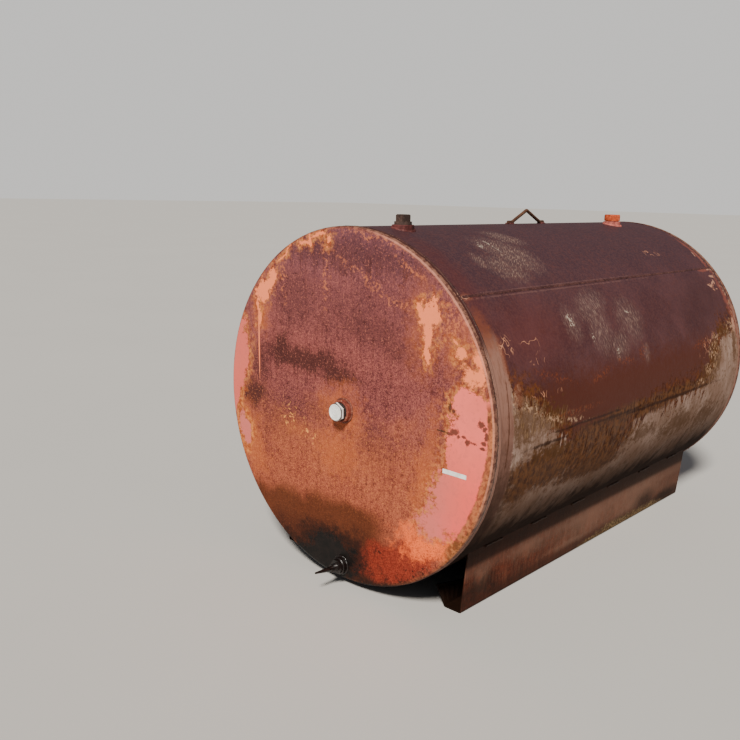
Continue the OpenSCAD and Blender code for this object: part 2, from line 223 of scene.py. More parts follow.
# %% [markdown]
# ## Coordinates of the head and of the shell
# The head is flat, so places on it are metres across and metres up from its middle. The shell is
# a tube: rolled out flat like its own sheet, a place on it is the distance from the front face
# and the angle above the horizontal. Paint, scrapes and runs are then laid out on these two
# sheets the way a sign painter would, with a tape.

# %% Groups that measure a place on the head and on the shell
def make_head_place():
    tree, _, o = start_group("Head place", {}, "Across", "Up", "Radius", "Point")
    where = object_point()
    at = split(where)
    up = minus(at["Z"], axis_z)
    radius = distance(flat_point(at["X"], up))
    give(o, Across=at["X"], Up=up, Radius=radius, Point=where)
    return tree


def make_shell_place():
    tree, _, o = start_group("Shell place", {}, "Along", "Angle", "Sheet", "Point")
    where = object_point()
    at = split(where)
    up = minus(at["Z"], axis_z)
    angle = maths("DEGREES", maths("ARCTAN2", up, maths("ABSOLUTE", at["X"])))
    along = minus(at["Y"], face_y)
    round_way = times(maths("ARCTAN2", at["X"], up), shell_r)
    give(o, Along=along, Angle=angle, Sheet=flat_point(along, round_way), Point=where)
    return tree


head_place = make_head_place()
shell_place = make_shell_place()
print("places:", head_place.name, "and", shell_place.name)

# %% [markdown]
# ## One stamp for every patch
# Paint left over on rust, a scrape, an oil stain and a drip are all the same drawing: an oval at
# some place, some size and some turn, with a torn edge. The group measures how far a point is from
# the oval's middle, tears that distance with a noise, and cuts it off. The tearing noise comes in
# from outside, so one noise serves all the patches of a material. A second group pushes the place
# itself about by a few centimetres, so that an oval becomes an island.

# %% The patch and wander groups
def make_patch():
    tree, i, o = start_group("Patch", {
        "Across": 0.0, "Up": 0.0, "Tear": 0.5, "Centre": None, "Size": None, "Turn": 0.0, "Ragged": 0.3,
        "Soft": 0.1, "Strength": 1.0}, "Mask")
    flat = flat_point(i["Across"], i["Up"])
    away = put("VectorMath", {0: flat, 1: i["Centre"]}, operation="SUBTRACT").outputs[0]
    turned = put("VectorRotate", {"Vector": away, "Angle": i["Turn"]}, rotation_type="Z_AXIS").outputs[0]
    scaled = put("VectorMath", {0: turned, 1: i["Size"]}, operation="DIVIDE").outputs[0]
    torn = shifted(distance(scaled), i["Tear"], i["Ragged"])
    mask = maths("ADD", over(minus(1.0, torn), i["Soft"]), 0.5, clamp=True)
    give(o, Mask=times(mask, i["Strength"]))
    return tree


def make_wander():
    tree, i, o = start_group("Wander", {"Across": 0.0, "Up": 0.0, "Point": None, "Size": 0.1, "Amount": 0.05},
                             "Across", "Up", "Tear")
    sockets = {"Vector": i["Point"], "Scale": over(1.0, i["Size"]), "Detail": 6.0, "Roughness": 0.62}
    shifts = put("SeparateColor", {0: put("TexNoise", sockets).outputs["Color"]}).outputs
    for key, shift in (("Across", shifts[0]), ("Up", shifts[1])):
        feed(o[key], shifted(i[key], shift, i["Amount"]))
    feed(o["Tear"], shifted(0.5, noise(i["Point"], 42.0, 6.0, 0.78), 4.0))
    return tree


patch = make_patch()
wander = make_wander()
print("groups:", patch.name, "and", wander.name)

# %% [markdown]
# ## Tables of patches
# A finish keeps its patches in a table, one row for each: the middle across and up, half the width
# and half the height, all in metres. After these may come a turn in degrees, how ragged and how soft
# the edge is, and a strength. What a row leaves out is the same for the whole table. patches()
# presses the stamp once for each row and keeps the strongest. The spot that it takes is three things
# together: across, up and the tearing noise. grown() makes the same table with wider patches, for
# the halo round each.

# %% Helpers that read a table of patches
def patches(spot, rows, ragged=0.3, soft=0.1):
    across, up, tear = spot
    total = None
    for x, y, wide, high, *rest in rows:
        turn, rag, edge, strength = [*rest, *(0, ragged, soft, 1.0)[len(rest):]]
        mask = stamp(patch, Across=across, Up=up, Tear=tear, Centre=(x, y, 0), Size=(wide, high, 1),
                     Turn=math.radians(-turn), Ragged=rag, Soft=edge, Strength=strength)["Mask"]
        total = mask if total is None else larger(total, mask)
    return total


def grown(rows, wider, higher):
    return [(x, y, w + wider, h + higher, *turn[:1]) for x, y, w, h, *turn in rows]


print("table helpers ready")

# %% [markdown]
# ## Mottled rust, streaks, speckles and wandering scratches
# Rust is never one brown. Three sizes of noise are laid over each other: hand-sized clouds,
# coin-sized blotches and grains. Rain draws rust into upright streaks, which are a noise that is
# squeezed across and stretched downwards. Speckles are the brightest peaks of a fine noise. A
# wandering scratch is the line along which a noise crosses its middle value.

# %% Mottle, streak, speckle and scratch groups
def make_mottle():
    tree, i, o = start_group("Mottle", {"Point": None, "Cloud size": 0.12, "Blotch size": 0.02, "Grain size": 0.003},
                             "Clouds", "Blotches", "Grain")
    for key, size, detail, rough in (("Clouds", "Cloud size", 5.0, 0.62), ("Blotches", "Blotch size", 5.0, 0.7),
                                     ("Grain", "Grain size", 3.0, 0.75)):
        feed(o[key], noise(i["Point"], over(1.0, i[size]), detail, rough))
    return tree


def make_streaks():
    tree, i, o = start_group("Streaks", {"Across": 0.0, "Down": 0.0, "Width": 0.01, "Length": 0.3, "Level": 0.55},
                             "Mask")
    stretched = flat_point(over(i["Across"], i["Width"]), over(i["Down"], i["Length"]))
    give(o, Mask=spread(noise(stretched, 1.0), i["Level"], maths("ADD", i["Level"], 0.15)))
    return tree


def make_speckles():
    tree, i, o = start_group("Speckles", {"Point": None, "Size": 0.004, "Level": 0.68}, "Mask")
    peaks = noise(i["Point"], over(1.0, i["Size"]), 3.0)
    give(o, Mask=spread(peaks, i["Level"], maths("ADD", i["Level"], 0.06)))
    return tree


def make_scratches():
    tree, i, o = start_group("Scratches", {"Point": None, "Size": 0.05, "Width": 0.02}, "Mask")
    off = maths("ABSOLUTE", minus(noise(i["Point"], over(1.0, i["Size"]), 2.0, 0.5), 0.5))
    give(o, Mask=spread(off, i["Width"], times(i["Width"], 0.3)))
    return tree


mottle, streaks, speckles, scratches = make_mottle(), make_streaks(), make_speckles(), make_scratches()
print("groups:", [g.name for g in bpy.data.node_groups])

# %% Short names for pressing the stamps
def mottled(point, clouds, blotches, grain):
    outputs = stamp(mottle, Point=point, Cloud_size=clouds, Blotch_size=blotches, Grain_size=grain)
    return outputs["Clouds"], outputs["Blotches"], outputs["Grain"]


def streaked(across, down, width, length, level):
    return stamp(streaks, Across=across, Down=down, Width=width, Length=length, Level=level)["Mask"]


def speckled(point, size, level):
    return stamp(speckles, Point=point, Size=size, Level=level)["Mask"]


def wandered(across, up, point, size, amount):
    moved = stamp(wander, Across=across, Up=up, Point=point, Size=size, Amount=amount)
    return moved["Across"], moved["Up"], moved["Tear"]


print("stamps ready to press")

# %% [markdown]
# ## A material and its surface
# Each finish ends the same way: a colour, a roughness and a height go into one Principled shader,
# the height through a Bump node. Rust and chalky paint are pores all over, so they mirror far less
# than a smooth plastic does, and the specular level is set low. dress() puts a finish on CAD nodes.

# %% Helpers that open and close a finish
FLAT, CHALKY, DRY, WET = 0.08, 0.1, 0.2, 0.5


def start_finish(name):
    material = bpy.data.materials.new(name)
    material.use_nodes = True
    open_tree(material.node_tree)
    return material


def close_finish(base, rough, height=None, depth=0.001, gloss=DRY):
    shader = put("BsdfPrincipled", {"Base Color": base, "Roughness": rough, "Specular IOR Level": gloss})
    if height is not None:
        bump = put("Bump", {"Height": height, "Distance": depth, "Strength": 1.0})
        feed(shader.inputs["Normal"], bump.outputs[0])
    put("OutputMaterial", {"Surface": shader.outputs[0]})


def dress(material, *names):
    for name in names:
        for slot in nodes[name].material_slots:
            slot.material = material


print("finish helpers ready")

# %% [markdown]
# ## Rust of the heads
# Both heads share the same rust: maroon in the upper part, orange towards the bottom, where water
# sits longest, all of it mottled down to grains a few millimetres wide.

# %% Head rust
def head_rust(up, clouds, blotches, grain):
    mix = times_plus(grain, 0.72, times(blotches, 0.28))
    grit = spread(mix, 0.42, 0.585)
    maroon = blend(grit, colour("#492023"), colour("#a45c54"))
    tone = two_tone(clouds, 0.36, 0.64, "#632e31", "#904a45")
    maroon = blend(0.4, maroon, tone)
    maroon = tint(maroon, spread(up, 0.12, 0.4), 0.26, "#7e5059")
    maroon = tint(maroon, spread(up, 0.38, 0.52), 0.3, "#5a4454")
    orange = blend(grit, colour("#6b2d24"), colour("#bd684a"))
    warm = two_tone(clouds, 0.36, 0.64, "#853e2a", "#a1563a")
    orange = blend(0.4, orange, warm)
    low = shifted(up, clouds, -0.6)
    rust = blend(spread(low, 0.06, -0.2), maroon, orange)
    pits = spread(blotches, 0.43, 0.36)
    return tint(rust, pits, 0.5, "#451a16")


print("head rust ready")

# %% [markdown]
# ## Clouds and stains on the front head
# The front head has seen more: mauve clouds where the old paint has bled, glowing orange where
# rust is fresh, a dark tide mark near the foot, embers of red at the lower right, and the black
# oil under the drain. They are patches on the rust, from the widest to the smallest.

# %% Front head stains
MAUVE = [
    (-0.2, 0.143, 0.19, 0.038), (-0.3, 0.16, 0.06, 0.05), (-0.04, 0.115, 0.1, 0.025),
    (0.13, 0.27, 0.2, 0.05, -15, 0.5, 0.9, 0.5), (-0.46, -0.02, 0.07, 0.045),
    (0.0, 0.5, 0.32, 0.05, -3, 0.5, 0.9, 0.6), (-0.24, 0.34, 0.12, 0.09, 20, 0.5, 0.9, 0.45),
    (-0.42, 0.08, 0.04, 0.08, 0, 0.5, 0.8, 0.6), (0.02, 0.34, 0.24, 0.08, 5, 0.5, 1.2, 0.35),
    (-0.1, 0.28, 0.05, 0.06, 0, 0.5, 1.0, 0.35), (-0.12, -0.02, 0.09, 0.04, 0, 0.5, 1.2, 0.4),
    (-0.3, -0.08, 0.12, 0.06, 0, 0.5, 1.2, 0.35), (0.12, -0.08, 0.07, 0.06, 0, 0.5, 1.2, 0.3)]
GLOW = [
    (-0.01, 0.0, 0.085, 0.08), (-0.41, 0.26, 0.04, 0.06), (-0.03, -0.15, 0.1, 0.07),
    (0.31, 0.3, 0.05, 0.12, 10, 0.9, 1.2, 0.7), (0.3, 0.42, 0.04, 0.04, 30, 1.2, 1.6, 0.45),
    (0.46, 0.27, 0.09, 0.07, -30, 1.2, 1.3, 0.75), (-0.47, -0.2, 0.06, 0.13, 20),
    (0.35, -0.08, 0.03, 0.17, -12), (-0.24, -0.11, 0.06, 0.025, 0, 0.9, 1.3, 0.5)]
EMBER = [(0.2, -0.475, 0.14, 0.07, 14), (0.29, -0.42, 0.12, 0.06, 32), (0.1, -0.52, 0.06, 0.025)]
SAND = [
    (0.37, -0.35, 0.1, 0.04, 22), (0.29, -0.34, 0.05, 0.03, 20, 0.9, 1.1, 0.8),
    (0.42, -0.32, 0.06, 0.035, 40)]
DABS = [(-0.27, -0.075, 0.035, 0.035), (-0.185, -0.11, 0.03, 0.03), (-0.15, -0.135, 0.02, 0.02)]
CINDER = [(0.33, -0.46, 0.07, 0.03, 35), (0.27, -0.52, 0.08, 0.02, 20), (0.17, -0.45, 0.03, 0.02)]
OIL = [
    (-0.05, -0.525, 0.11, 0.075), (-0.1, -0.565, 0.13, 0.04, -12), (0.0, -0.5, 0.06, 0.05),
    (0.17, -0.59, 0.24, 0.022, 8)]


def front_stains(spot, point, blotches, grain, run, rust):
    x, up, tear = spot
    dripping = times_plus(run, 0.022, up)
    rust = tint(rust, patches((x, dripping, tear), MAUVE, 0.5, 0.8), 0.82, "#3b1b19")
    rust = tint(rust, patches(spot, GLOW, 0.9, 0.9), 0.42, "#c16432")
    arc = times_plus(times(x, x), 0.28, up)
    foot = times(spread(arc, -0.28, -0.345), spread(x, 0.27, 0.12))
    rust = tint(rust, foot, 0.86, "#4b230c")
    below = spread(arc, -0.37, -0.47)
    rust = tint(rust, below, 0.72, "#3b180c")
    ember = patches(spot, EMBER, 0.3, 0.4)
    hot = two_tone(grain, 0.4, 0.62, "#6f1e11", "#963824")
    hot = tint(hot, spread(blotches, 0.46, 0.38), 0.35, "#56160c")
    rust = tint(rust, ember, 0.92, hot)
    sand = times(patches(spot, SAND, 0.9, 0.9), spread(grain, 0.36, 0.52, 0.45, 1.0))
    rust = tint(rust, sand, 0.95, "#ff7238")
    spots = speckled(point, 0.012, 0.56)
    cinders = times(patches(spot, CINDER, 0.6, 0.8), spots)
    rust = tint(rust, cinders, 0.85, "#2c0f08")
    dabs = times(patches(spot, DABS, 0.8, 0.8), spots)
    return tint(rust, dabs, 0.9, "#f0a052")


def front_oil(spot, base):
    base = tint(base, patches(spot, grown(OIL, 0.07, 0.035), 0.6, 0.6), 0.9, "#251109")
    oil = patches(spot, OIL, 0.5, 0.3)
    tone = blend(spot[2], colour("#070605"), colour("#191210"))
    return blend(oil, base, tone), oil


print("stains:", len(MAUVE + GLOW + EMBER + SAND + DABS + CINDER + OIL))

# %% [markdown]
# ## The last of the pink paint
# The head was painted salmon pink. What is left holds out at both sides and in a few islands near
# the top, each edged with a halo of fresh orange where rust creeps under. Every island is laid in
# twice: a wider, softer one for the halo and then the paint itself.

# %% Front head paint
PINK = [
    (0.54, 0.05, 0.1, 0.1), (0.49, 0.11, 0.055, 0.045), (0.515, -0.07, 0.095, 0.11, 8),
    (0.49, -0.18, 0.11, 0.11, 0, 0.6, 0.16), (0.41, -0.265, 0.09, 0.05, 25, 0.9, 0.5),
    (-0.55, 0.12, 0.065, 0.13, -4), (-0.575, -0.02, 0.03, 0.15), (-0.51, -0.17, 0.028, 0.06, 12)]
SALMON = [
    (0.348, 0.35, 0.036, 0.042, 8), (0.343, 0.285, 0.024, 0.045), (0.335, 0.235, 0.012, 0.035),
    (0.308, 0.38, 0.012, 0.014), (0.468, 0.25, 0.022, 0.014), (0.44, 0.272, 0.015, 0.007),
    (0.51, 0.195, 0.034, 0.026, -35, 1.5, 0.5), (0.53, 0.235, 0.01, 0.05, 20, 1.4, 0.8),
    (-0.4, 0.345, 0.028, 0.04, -25), (-0.365, 0.39, 0.018, 0.045, -35), (-0.31, 0.475, 0.05, 0.004, 34),
    (-0.422, 0.28, 0.007, 0.05), (-0.19, 0.525, 0.03, 0.006, 20), (-0.12, 0.545, 0.04, 0.006, 2),
    (-0.16, 0.535, 0.006, 0.02), (-0.08, 0.53, 0.006, 0.02)]
DRIP = [(-0.427, 0.17, 0.0035, 0.13, 1)]
SMUDGE = [
    (0.446, 0.02, 0.012, 0.008), (0.464, 0.009, 0.009, 0.006, 20), (0.48, 0.012, 0.008, 0.005, -10),
    (0.493, -0.001, 0.007, 0.008), (0.432, 0.012, 0.012, 0.004), (0.4, 0.014, 0.016, 0.003),
    (0.54, 0.062, 0.01, 0.012), (0.552, 0.05, 0.008, 0.006, 20), (0.56, 0.028, 0.006, 0.012),
    (0.552, 0.008, 0.009, 0.006), (0.546, -0.008, 0.012, 0.004), (0.563, 0.078, 0.006, 0.01),
    (0.428, 0.09, 0.005, 0.012), (0.441, 0.081, 0.006, 0.006), (0.52, 0.0, 0.009, 0.004)]
REAR_PINK = [
    (-0.56, 0.03, 0.055, 0.15, 4), (0.57, 0.1, 0.05, 0.12, -6), (0.535, -0.16, 0.03, 0.07, -14),
    (-0.5, 0.24, 0.03, 0.05, 20)]
FLECK = [
    (0.05, 0.45, 0.12, 0.008, -22), (0.2, 0.38, 0.1, 0.012, -20), (-0.1, 0.42, 0.012, 0.1),
    (-0.09, 0.52, 0.006, 0.05), (-0.3, 0.4, 0.012, 0.08, 5), (0.26, 0.48, 0.06, 0.01, -35),
    (0.42, 0.33, 0.05, 0.05), (0.1, 0.56, 0.15, 0.01, -6)]


def rear_paint(spot, blotches, base):
    halo_tone = two_tone(blotches, 0.42, 0.6, "#8a4426", "#c27a48")
    base = tint(base, patches(spot, REAR_PINK, 0.8, 0.9), 0.6, halo_tone)
    inner = grown(REAR_PINK, -0.012, -0.02)
    return tint(base, patches(spot, inner, 0.7, 0.15), 0.95, "#d8705f")


def front_paint(spot, fine, point, clouds, blotches, base):
    x, up = spot[:2]
    halo = larger(patches(spot, grown(PINK, 0.025, 0.02), 0.35, 0.35),
                  patches(spot, grown(SALMON, 0.012, 0.012), 0.9, 0.8))
    halo_tone = two_tone(blotches, 0.42, 0.6, "#a04c20", "#de8b48")
    base = tint(base, halo, 0.75, halo_tone)
    pink = patches(spot, PINK, 0.42, 0.08)
    pink_tone = two_tone(up, -0.26, 0.1, "#fa5c55", "#fd7769")
    pink_tone = tint(pink_tone, spread(x, 0.0, -0.4), 0.5, "#b0564a")
    pale = times(spread(x, 0.5, 0.38), spread(up, -0.02, -0.14))
    pink_tone = tint(pink_tone, pale, 0.7, "#c5746d")
    pink_tone = tint(pink_tone, spread(clouds, 0.4, 0.62), 0.3, "#d86a58")
    pink_tone = tint(pink_tone, spread(blotches, 0.5, 0.64), 0.22, "#b8625a")
    base = blend(pink, base, pink_tone)
    salmon = larger(patches(spot, SALMON, 0.9, 0.22), patches(fine, DRIP, 0.2, 0.3))
    base = blend(salmon, base, colour("#ff8a5c"))
    smudge = patches(fine, SMUDGE, 1.3, 0.5)
    base = tint(base, smudge, 0.85, "#402a1c")
    flecks = speckled(point, 0.01, 0.52)
    flecks = times(patches(spot, FLECK, 0.6, 0.9), flecks)
    base = tint(base, flecks, 0.55, "#d67a50")
    return base, larger(pink, salmon)


print("paint patches:", len(PINK + SALMON))

# %% [markdown]
# ## Putting the heads together
# The rim is the most knocked edge, so it is chipped to orange and tan. Its masks go by radius: a bare strip at the
# right starts at WORN_R, the head bends over at RIM_R, the outermost ring of the bend carries a painted highlight
# from SHINE_R on, and from SIDE_R on the surface is the side of the flange, of which the rear part wears the shell's
# primer, with a thin line of painted shade at the joint. Paint and oil fill the grain, so their masks also flatten
# the bump and lower the roughness.

# %% Side of the front head's flange
WORN_R, RIM_R, SHINE_R, SIDE_R = 0.552, 0.573, 0.5775, 0.5826
JOINT_DEPTH = 0.019


def flange_side(point, up, tear, base):
    depth = minus(split(point)["Y"], face_y)
    torn = shifted(depth, tear, 0.004)
    primed = two_tone(up, 0.3, 0.24, "#45211f", "#8d6759")
    base = blend(spread(torn, JOINT_DEPTH, JOINT_DEPTH + 0.002), base, primed)
    # painted shade: a thin dark line at the joint depth stands for the shaded gap where the shell's edge meets the
    # flange
    joint_shade = times(spread(torn, JOINT_DEPTH - 0.0025, JOINT_DEPTH - 0.001),
                 spread(torn, JOINT_DEPTH + 0.0025, JOINT_DEPTH + 0.001))
    return tint(base, joint_shade, 0.85, "#1e0f0b")


print("flange side ready")

# %% Head finishes
def head_finish(name, front):
    material = start_finish(name)
    place = stamp(head_place)
    x, up, radius, point = place["Across"], place["Up"], place["Radius"], place["Point"]
    clouds, blotches, grain = mottled(point, 0.13, 0.016, 0.0043)
    spot = wandered(x, up, point, 0.11, 0.11)
    tear = spot[2]
    run = streaked(x, up, 0.01, 0.3, 0.5)
    rust = tint(head_rust(up, clouds, blotches, grain), run, 0.28, "#562320")
    if front:
        rust = front_stains(spot, point, blotches, grain, run, rust)
    dots = speckled(point, 0.007, 0.57)
    dots = times(dots, spread(up, -0.38, -0.25, 0.15, 1.0))
    dot_tone = two_tone(up, 0.1, -0.1, "#c27460", "#dc8448")
    base = tint(rust, dots, 0.4, dot_tone)
    if front:
        base, paint = front_paint(spot, (x, up, tear), point, clouds, blotches, base)
    else:
        base = rear_paint(spot, blotches, base)
    worn_radius = shifted(radius, tear, 0.006)
    rim = spread(worn_radius, RIM_R, RIM_R + 0.006)
    rim_tone = two_tone(blotches, 0.44, 0.56, "#5a2a1a", "#9a5a3c")
    base = tint(base, rim, 0.6, rim_tone)
    if front:
        inward = spread(up, 0.1, -0.22, 0.01, 0.0)
        strip = spread(minus(worn_radius, inward), WORN_R, WORN_R + 0.007)
        strip = times(strip, spread(x, 0.4, 0.46))
        strip = times(strip, spread(up, 0.14, 0.1))
        strip_tone = two_tone(blotches, 0.44, 0.56, "#6a3f20", "#a86a3e")
        base = tint(base, strip, 0.85, strip_tone)
        # painted highlight: a pale line on the outermost ring of the bend, at the upper right, where the sun catches
        # it
        painted_highlight = times(spread(radius, SHINE_R, SHINE_R + 0.002), spread(x, 0.05, 0.2))
        painted_highlight = times(painted_highlight, spread(up, -0.3, -0.1))
        base = tint(base, painted_highlight, 0.42, "#cf8f7a")
    side_tone = two_tone(blotches, 0.44, 0.56, "#55332a", "#7d5646")
    base = blend(spread(radius, SIDE_R, SIDE_R + 0.001), base, side_tone)
    if front:
        base = flange_side(point, up, tear, base)
    height = times_plus(grain, 0.5, blotches)
    rough = times_plus(blotches, 0.25, 0.6)
    if front:
        base, oil = front_oil(spot, base)
        clear = minus(1.0, larger(paint, oil))
        height = times(height, times_plus(clear, 0.85, 0.15))
        rough = blend_value(paint, rough, 0.45)
        rough = blend_value(oil, rough, 0.45)
    close_finish(base, rough, height, 0.0012)
    return material


dress(head_finish("front_head_rust", True), "front_head")
dress(head_finish("rear_head_rust", False), "rear_head")
print("heads dressed")

# %% [markdown]
# ## The shell: dark paint above, primer and rust below
# The shell still carries dark maroon paint on its upper half, turned a little purple and satin by the sun; towards
# the crown the purple-grey is partly a painted sheen of the sky's reflection. Below the middle the paint has worn
# through to a pale pinkish primer, with rust-brown fringes hanging down. Where the paint ends is drawn with a Float
# Curve node: how high the primer reaches at each distance along the tank, in degrees. The node knows only 0 to 1, so
# the span from LOWEST over REACH degrees is squeezed into that. Streaks then tear the line downwards.

# %% Where the primer starts
PRIMER_LINE = [
    (0.0, 27), (0.09, 24), (0.11, 13), (0.2, 9), (0.3, 2), (0.4, -7), (0.5, -17), (0.8, -18), (0.88, -9),
    (1.05, -6), (1.48, -4), (1.52, 2), (1.6, 10), (1.66, 15), (1.76, 15), (1.82, 20), (1.856, 22)]
LOWEST, REACH = -40.0, 80.0


def primer_reach(along):
    length = back_y - face_y
    curve = put("FloatCurve", {"Value": over(along, length)})
    points = curve.mapping.curves[0].points
    spots = [(a / length, (d - LOWEST) / REACH) for a, d in PRIMER_LINE]
    points[0].location, points[1].location = spots[0], spots[-1]
    for spot in spots[1:-1]:
        points.new(*spot)
    for point in points:
        point.handle_type = "VECTOR"
    curve.mapping.update()
    return times_plus(curve.outputs[0], REACH, LOWEST)


print("primer line:", len(PRIMER_LINE), "points")

# %% [markdown]
# ## Bands, rims and scuffs
# The shell's patches are laid out on its unrolled sheet. Their tables give the distance from the
# front face in metres and the angle above the horizontal in degrees, and on_sheet() turns each angle
# into metres round the sheet from the crown.

# %% Tables of the shell's patches
def on_sheet(rows):
    return [(along, math.radians(90 - degrees) * shell_r, *rest) for along, degrees, *rest in rows]


BROWN_BAND = on_sheet([
    (0.3, -12.5, 0.24, 0.07), (0.62, -11, 0.26, 0.085), (0.9, -4, 0.3, 0.035), (1.25, -2.5, 0.3, 0.024),
    (0.16, -17, 0.08, 0.05, 0, 0.6, 0.8), (0.62, -19.5, 0.24, 0.045, 0, 0.6, 0.5)])
CREASE_SHADE = on_sheet([
    (0.3, -4.2, 0.12, 0.005), (0.55, -1.5, 0.2, 0.004), (1.12, -4.1, 0.42, 0.006), (0.75, -3.2, 0.2, 0.006)])
OLIVE = on_sheet([
    (0.16, 5, 0.07, 0.07), (0.2, -4.5, 0.1, 0.02, 0, 1.4, 0.7, 0.4), (0.33, -7, 0.1, 0.025),
    (1.58, -19, 0.1, 0.06), (0.3, 3, 0.09, 0.045), (1.57, 6, 0.05, 0.08), (1.5, 1, 0.06, 0.03),
    (1.3, -17, 0.16, 0.05), (1.78, 10, 0.02, 0.08), (1.66, 15.5, 0.08, 0.02), (0.98, -14, 0.1, 0.03)])
ORANGE = on_sheet([
    (0.055, 33, 0.03, 0.07), (0.1, 24, 0.012, 0.07), (0.13, 13, 0.02, 0.04), (0.05, 43.5, 0.04, 0.012)])
REAR_EDGE = on_sheet([
    (1.74, 43, 0.05, 0.008), (1.8, 52, 0.012, 0.12), (1.82, 18, 0.015, 0.1), (1.79, 30, 0.015, 0.09)])
CHIPS = on_sheet([
    (1.7, 35.5, 0.02, 0.006, 20), (1.74, 36.5, 0.025, 0.004, -25), (1.77, 39.5, 0.018, 0.006, 10),
    (1.75, 33.5, 0.012, 0.004), (1.76, 37, 0.005, 0.014), (1.79, 18, 0.012, 0.03),
    (0.05, 43.6, 0.02, 0.005), (1.78, 43, 0.02, 0.003), (1.78, 52, 0.005, 0.016, 20)])
RED = on_sheet([(0.28, 29, 0.18, 0.1), (0.08, 50, 0.05, 0.25)])
TOP_SCUFF = on_sheet([
    (0.46, 60, 0.11, 0.075, 35), (0.36, 53, 0.08, 0.05, 20), (0.56, 70, 0.07, 0.04, 35),
    (0.26, 57, 0.025, 0.035)])
SIDE_SCUFF = on_sheet([
    (0.68, 35, 0.09, 0.045, -15), (0.68, 27, 0.06, 0.08), (0.52, 30, 0.04, 0.05), (0.9, 28, 0.07, 0.07),
    (0.78, 20, 0.06, 0.04, -10), (0.96, 15, 0.02, 0.03)])
BRIGHT = on_sheet([
    (0.52, 31, 0.013, 0.02), (0.9, 30.8, 0.012, 0.005, 20), (0.36, 65, 0.009, 0.018, 30),
    (0.42, 64, 0.004, 0.04, -10), (0.62, 24, 0.008, 0.012), (0.76, 18, 0.008, 0.014)])
SQUIGGLE = on_sheet([
    (1.39, 54.5, 0.08, 0.014, 8), (0.13, 27, 0.03, 0.03), (0.25, 26.5, 0.045, 0.03), (0.27, 21, 0.04, 0.01),
    (1.5, 12, 0.08, 0.03, -20), (1.72, 35, 0.03, 0.02), (0.24, 11, 0.12, 0.01)])
FLAKES = on_sheet([(0.2, 6, 0.09, 0.06), (0.33, 2, 0.12, 0.03), (1.57, 7, 0.05, 0.07), (1.5, -3, 0.1, 0.03)])
CREAM = on_sheet([
    (0.11, 12, 0.02, 0.04), (0.19, 8, 0.06, 0.012, 20), (0.3, 3.5, 0.07, 0.012, 18),
    (0.44, 0.5, 0.09, 0.008, 8), (1.55, 9, 0.04, 0.04), (1.52, 3, 0.05, 0.025), (1.59, 14, 0.04, 0.012),
    (1.76, 17, 0.04, 0.03), (1.81, 30, 0.02, 0.2), (1.45, -2, 0.06, 0.012), (0.06, 26, 0.04, 0.015, -20)])
EMBERS = on_sheet([
    (0.62, 12, 0.07, 0.014, -10), (0.8, 14.5, 0.06, 0.012, 8), (0.94, 16, 0.03, 0.025),
    (0.45, 3, 0.14, 0.01), (0.34, 15, 0.1, 0.012, 15), (1.45, 13, 0.08, 0.02)])


print("shell patches:", len(BROWN_BAND + CREASE_SHADE + OLIVE + CHIPS + TOP_SCUFF + SIDE_SCUFF + BRIGHT + SQUIGGLE + CREAM))

# %% [markdown]
# ## Edges and scrapes of the shell
# The front edge of the shell has lost its paint in a band and is stained along its joint, and the
# rear edge shows red primer and chips. Things dragged over the crown and the side left two grey
# scuffs, a bundle of fine lines each, with a few bright spots where the steel shows.

# %% Rims and scuffs
def shell_rims(spot, along, angle, base):
    v, tear = spot[1:]
    torn = shifted(along, tear, 0.012)
    strip = times(spread(torn, 0.105, 0.092), spread(angle, 34.0, 26.0))
    base = tint(base, strip, 0.9, "#8c6558")
    stain = streaked(along, v, 0.012, 0.05, 0.48)
    base = tint(base, times(strip, stain), 0.4, "#6b4535")
    base = tint(base, times(strip, spread(angle, 14.0, -4.0)), 0.45, "#5e4034")
    base = tint(base, times(strip, spread(angle, -5.0, -16.0)), 0.45, "#3c261c")
    base = tint(base, patches(spot, ORANGE, 0.9, 1.0), 0.5, "#7a4330")
    base = tint(base, patches(spot, REAR_EDGE, 0.9, 0.7), 0.65, "#80463a")
    under = patches(spot, on_sheet([(0.05, -34, 0.06, 0.24)]), 0.6, 1.3)
    base = tint(base, under, 0.75, "#2e1a10")
    # painted highlight: two faint pale lines beside the seam bead, where its flanks catch the light
    seam_highlight = on_sheet([(0.55, 42.7, 0.5, 0.0022), (0.6, 44.5, 0.45, 0.0018)])
    base = tint(base, patches(spot, seam_highlight, 1.6, 0.9), 0.2, "#8a675d")
    edge = on_sheet([(0.075, 4, 0.003, 0.14, 3), (0.03, 10, 0.003, 0.16, -1)])
    base = tint(base, patches(spot, edge, 0.6, 0.6), 0.8, "#4f2c1c")
    return tint(base, patches(spot, CHIPS, 1.2, 0.5), 0.8, "#ad7f6a")


def shell_scuffs(spot, point, base):
    u, v = spot[:2]
    slant = math.radians(40)
    cos, sin = math.cos(slant), math.sin(slant)
    a = times_plus(u, cos, times(v, -sin))
    b = times_plus(u, sin, times(v, cos))
    lines = streaked(b, a, 0.003, 0.024, 0.5)
    upright = streaked(u, v, 0.004, 0.024, 0.49)
    top = patches(spot, TOP_SCUFF, 0.4, 0.9)
    side = patches(spot, SIDE_SCUFF, 0.5, 1.0)
    base = tint(base, times(top, lines), 0.78, "#947b6c")
    base = tint(base, top, 0.12, "#826a5e")
    base = tint(base, side, 0.16, "#625550")
    base = tint(base, times(side, upright), 0.68, "#8d7468")
    grit = speckled(point, 0.009, 0.51)
    white = times(patches(spot, BRIGHT, 1.0, 0.9), grit)
    base = tint(base, white, 0.72, "#c6b8a6")
    thin = stamp(scratches, Point=point, Size=0.06, Width=0.013)["Mask"]
    squiggle = times(patches(spot, SQUIGGLE, 0.3, 0.6), thin)
    base = tint(base, squiggle, 0.8, "#bd8568")
    ember = times(patches(spot, EMBERS, 0.8, 0.9), grit)
    return tint(base, ember, 0.3, "#8c4622")


print("rims and scuffs ready")
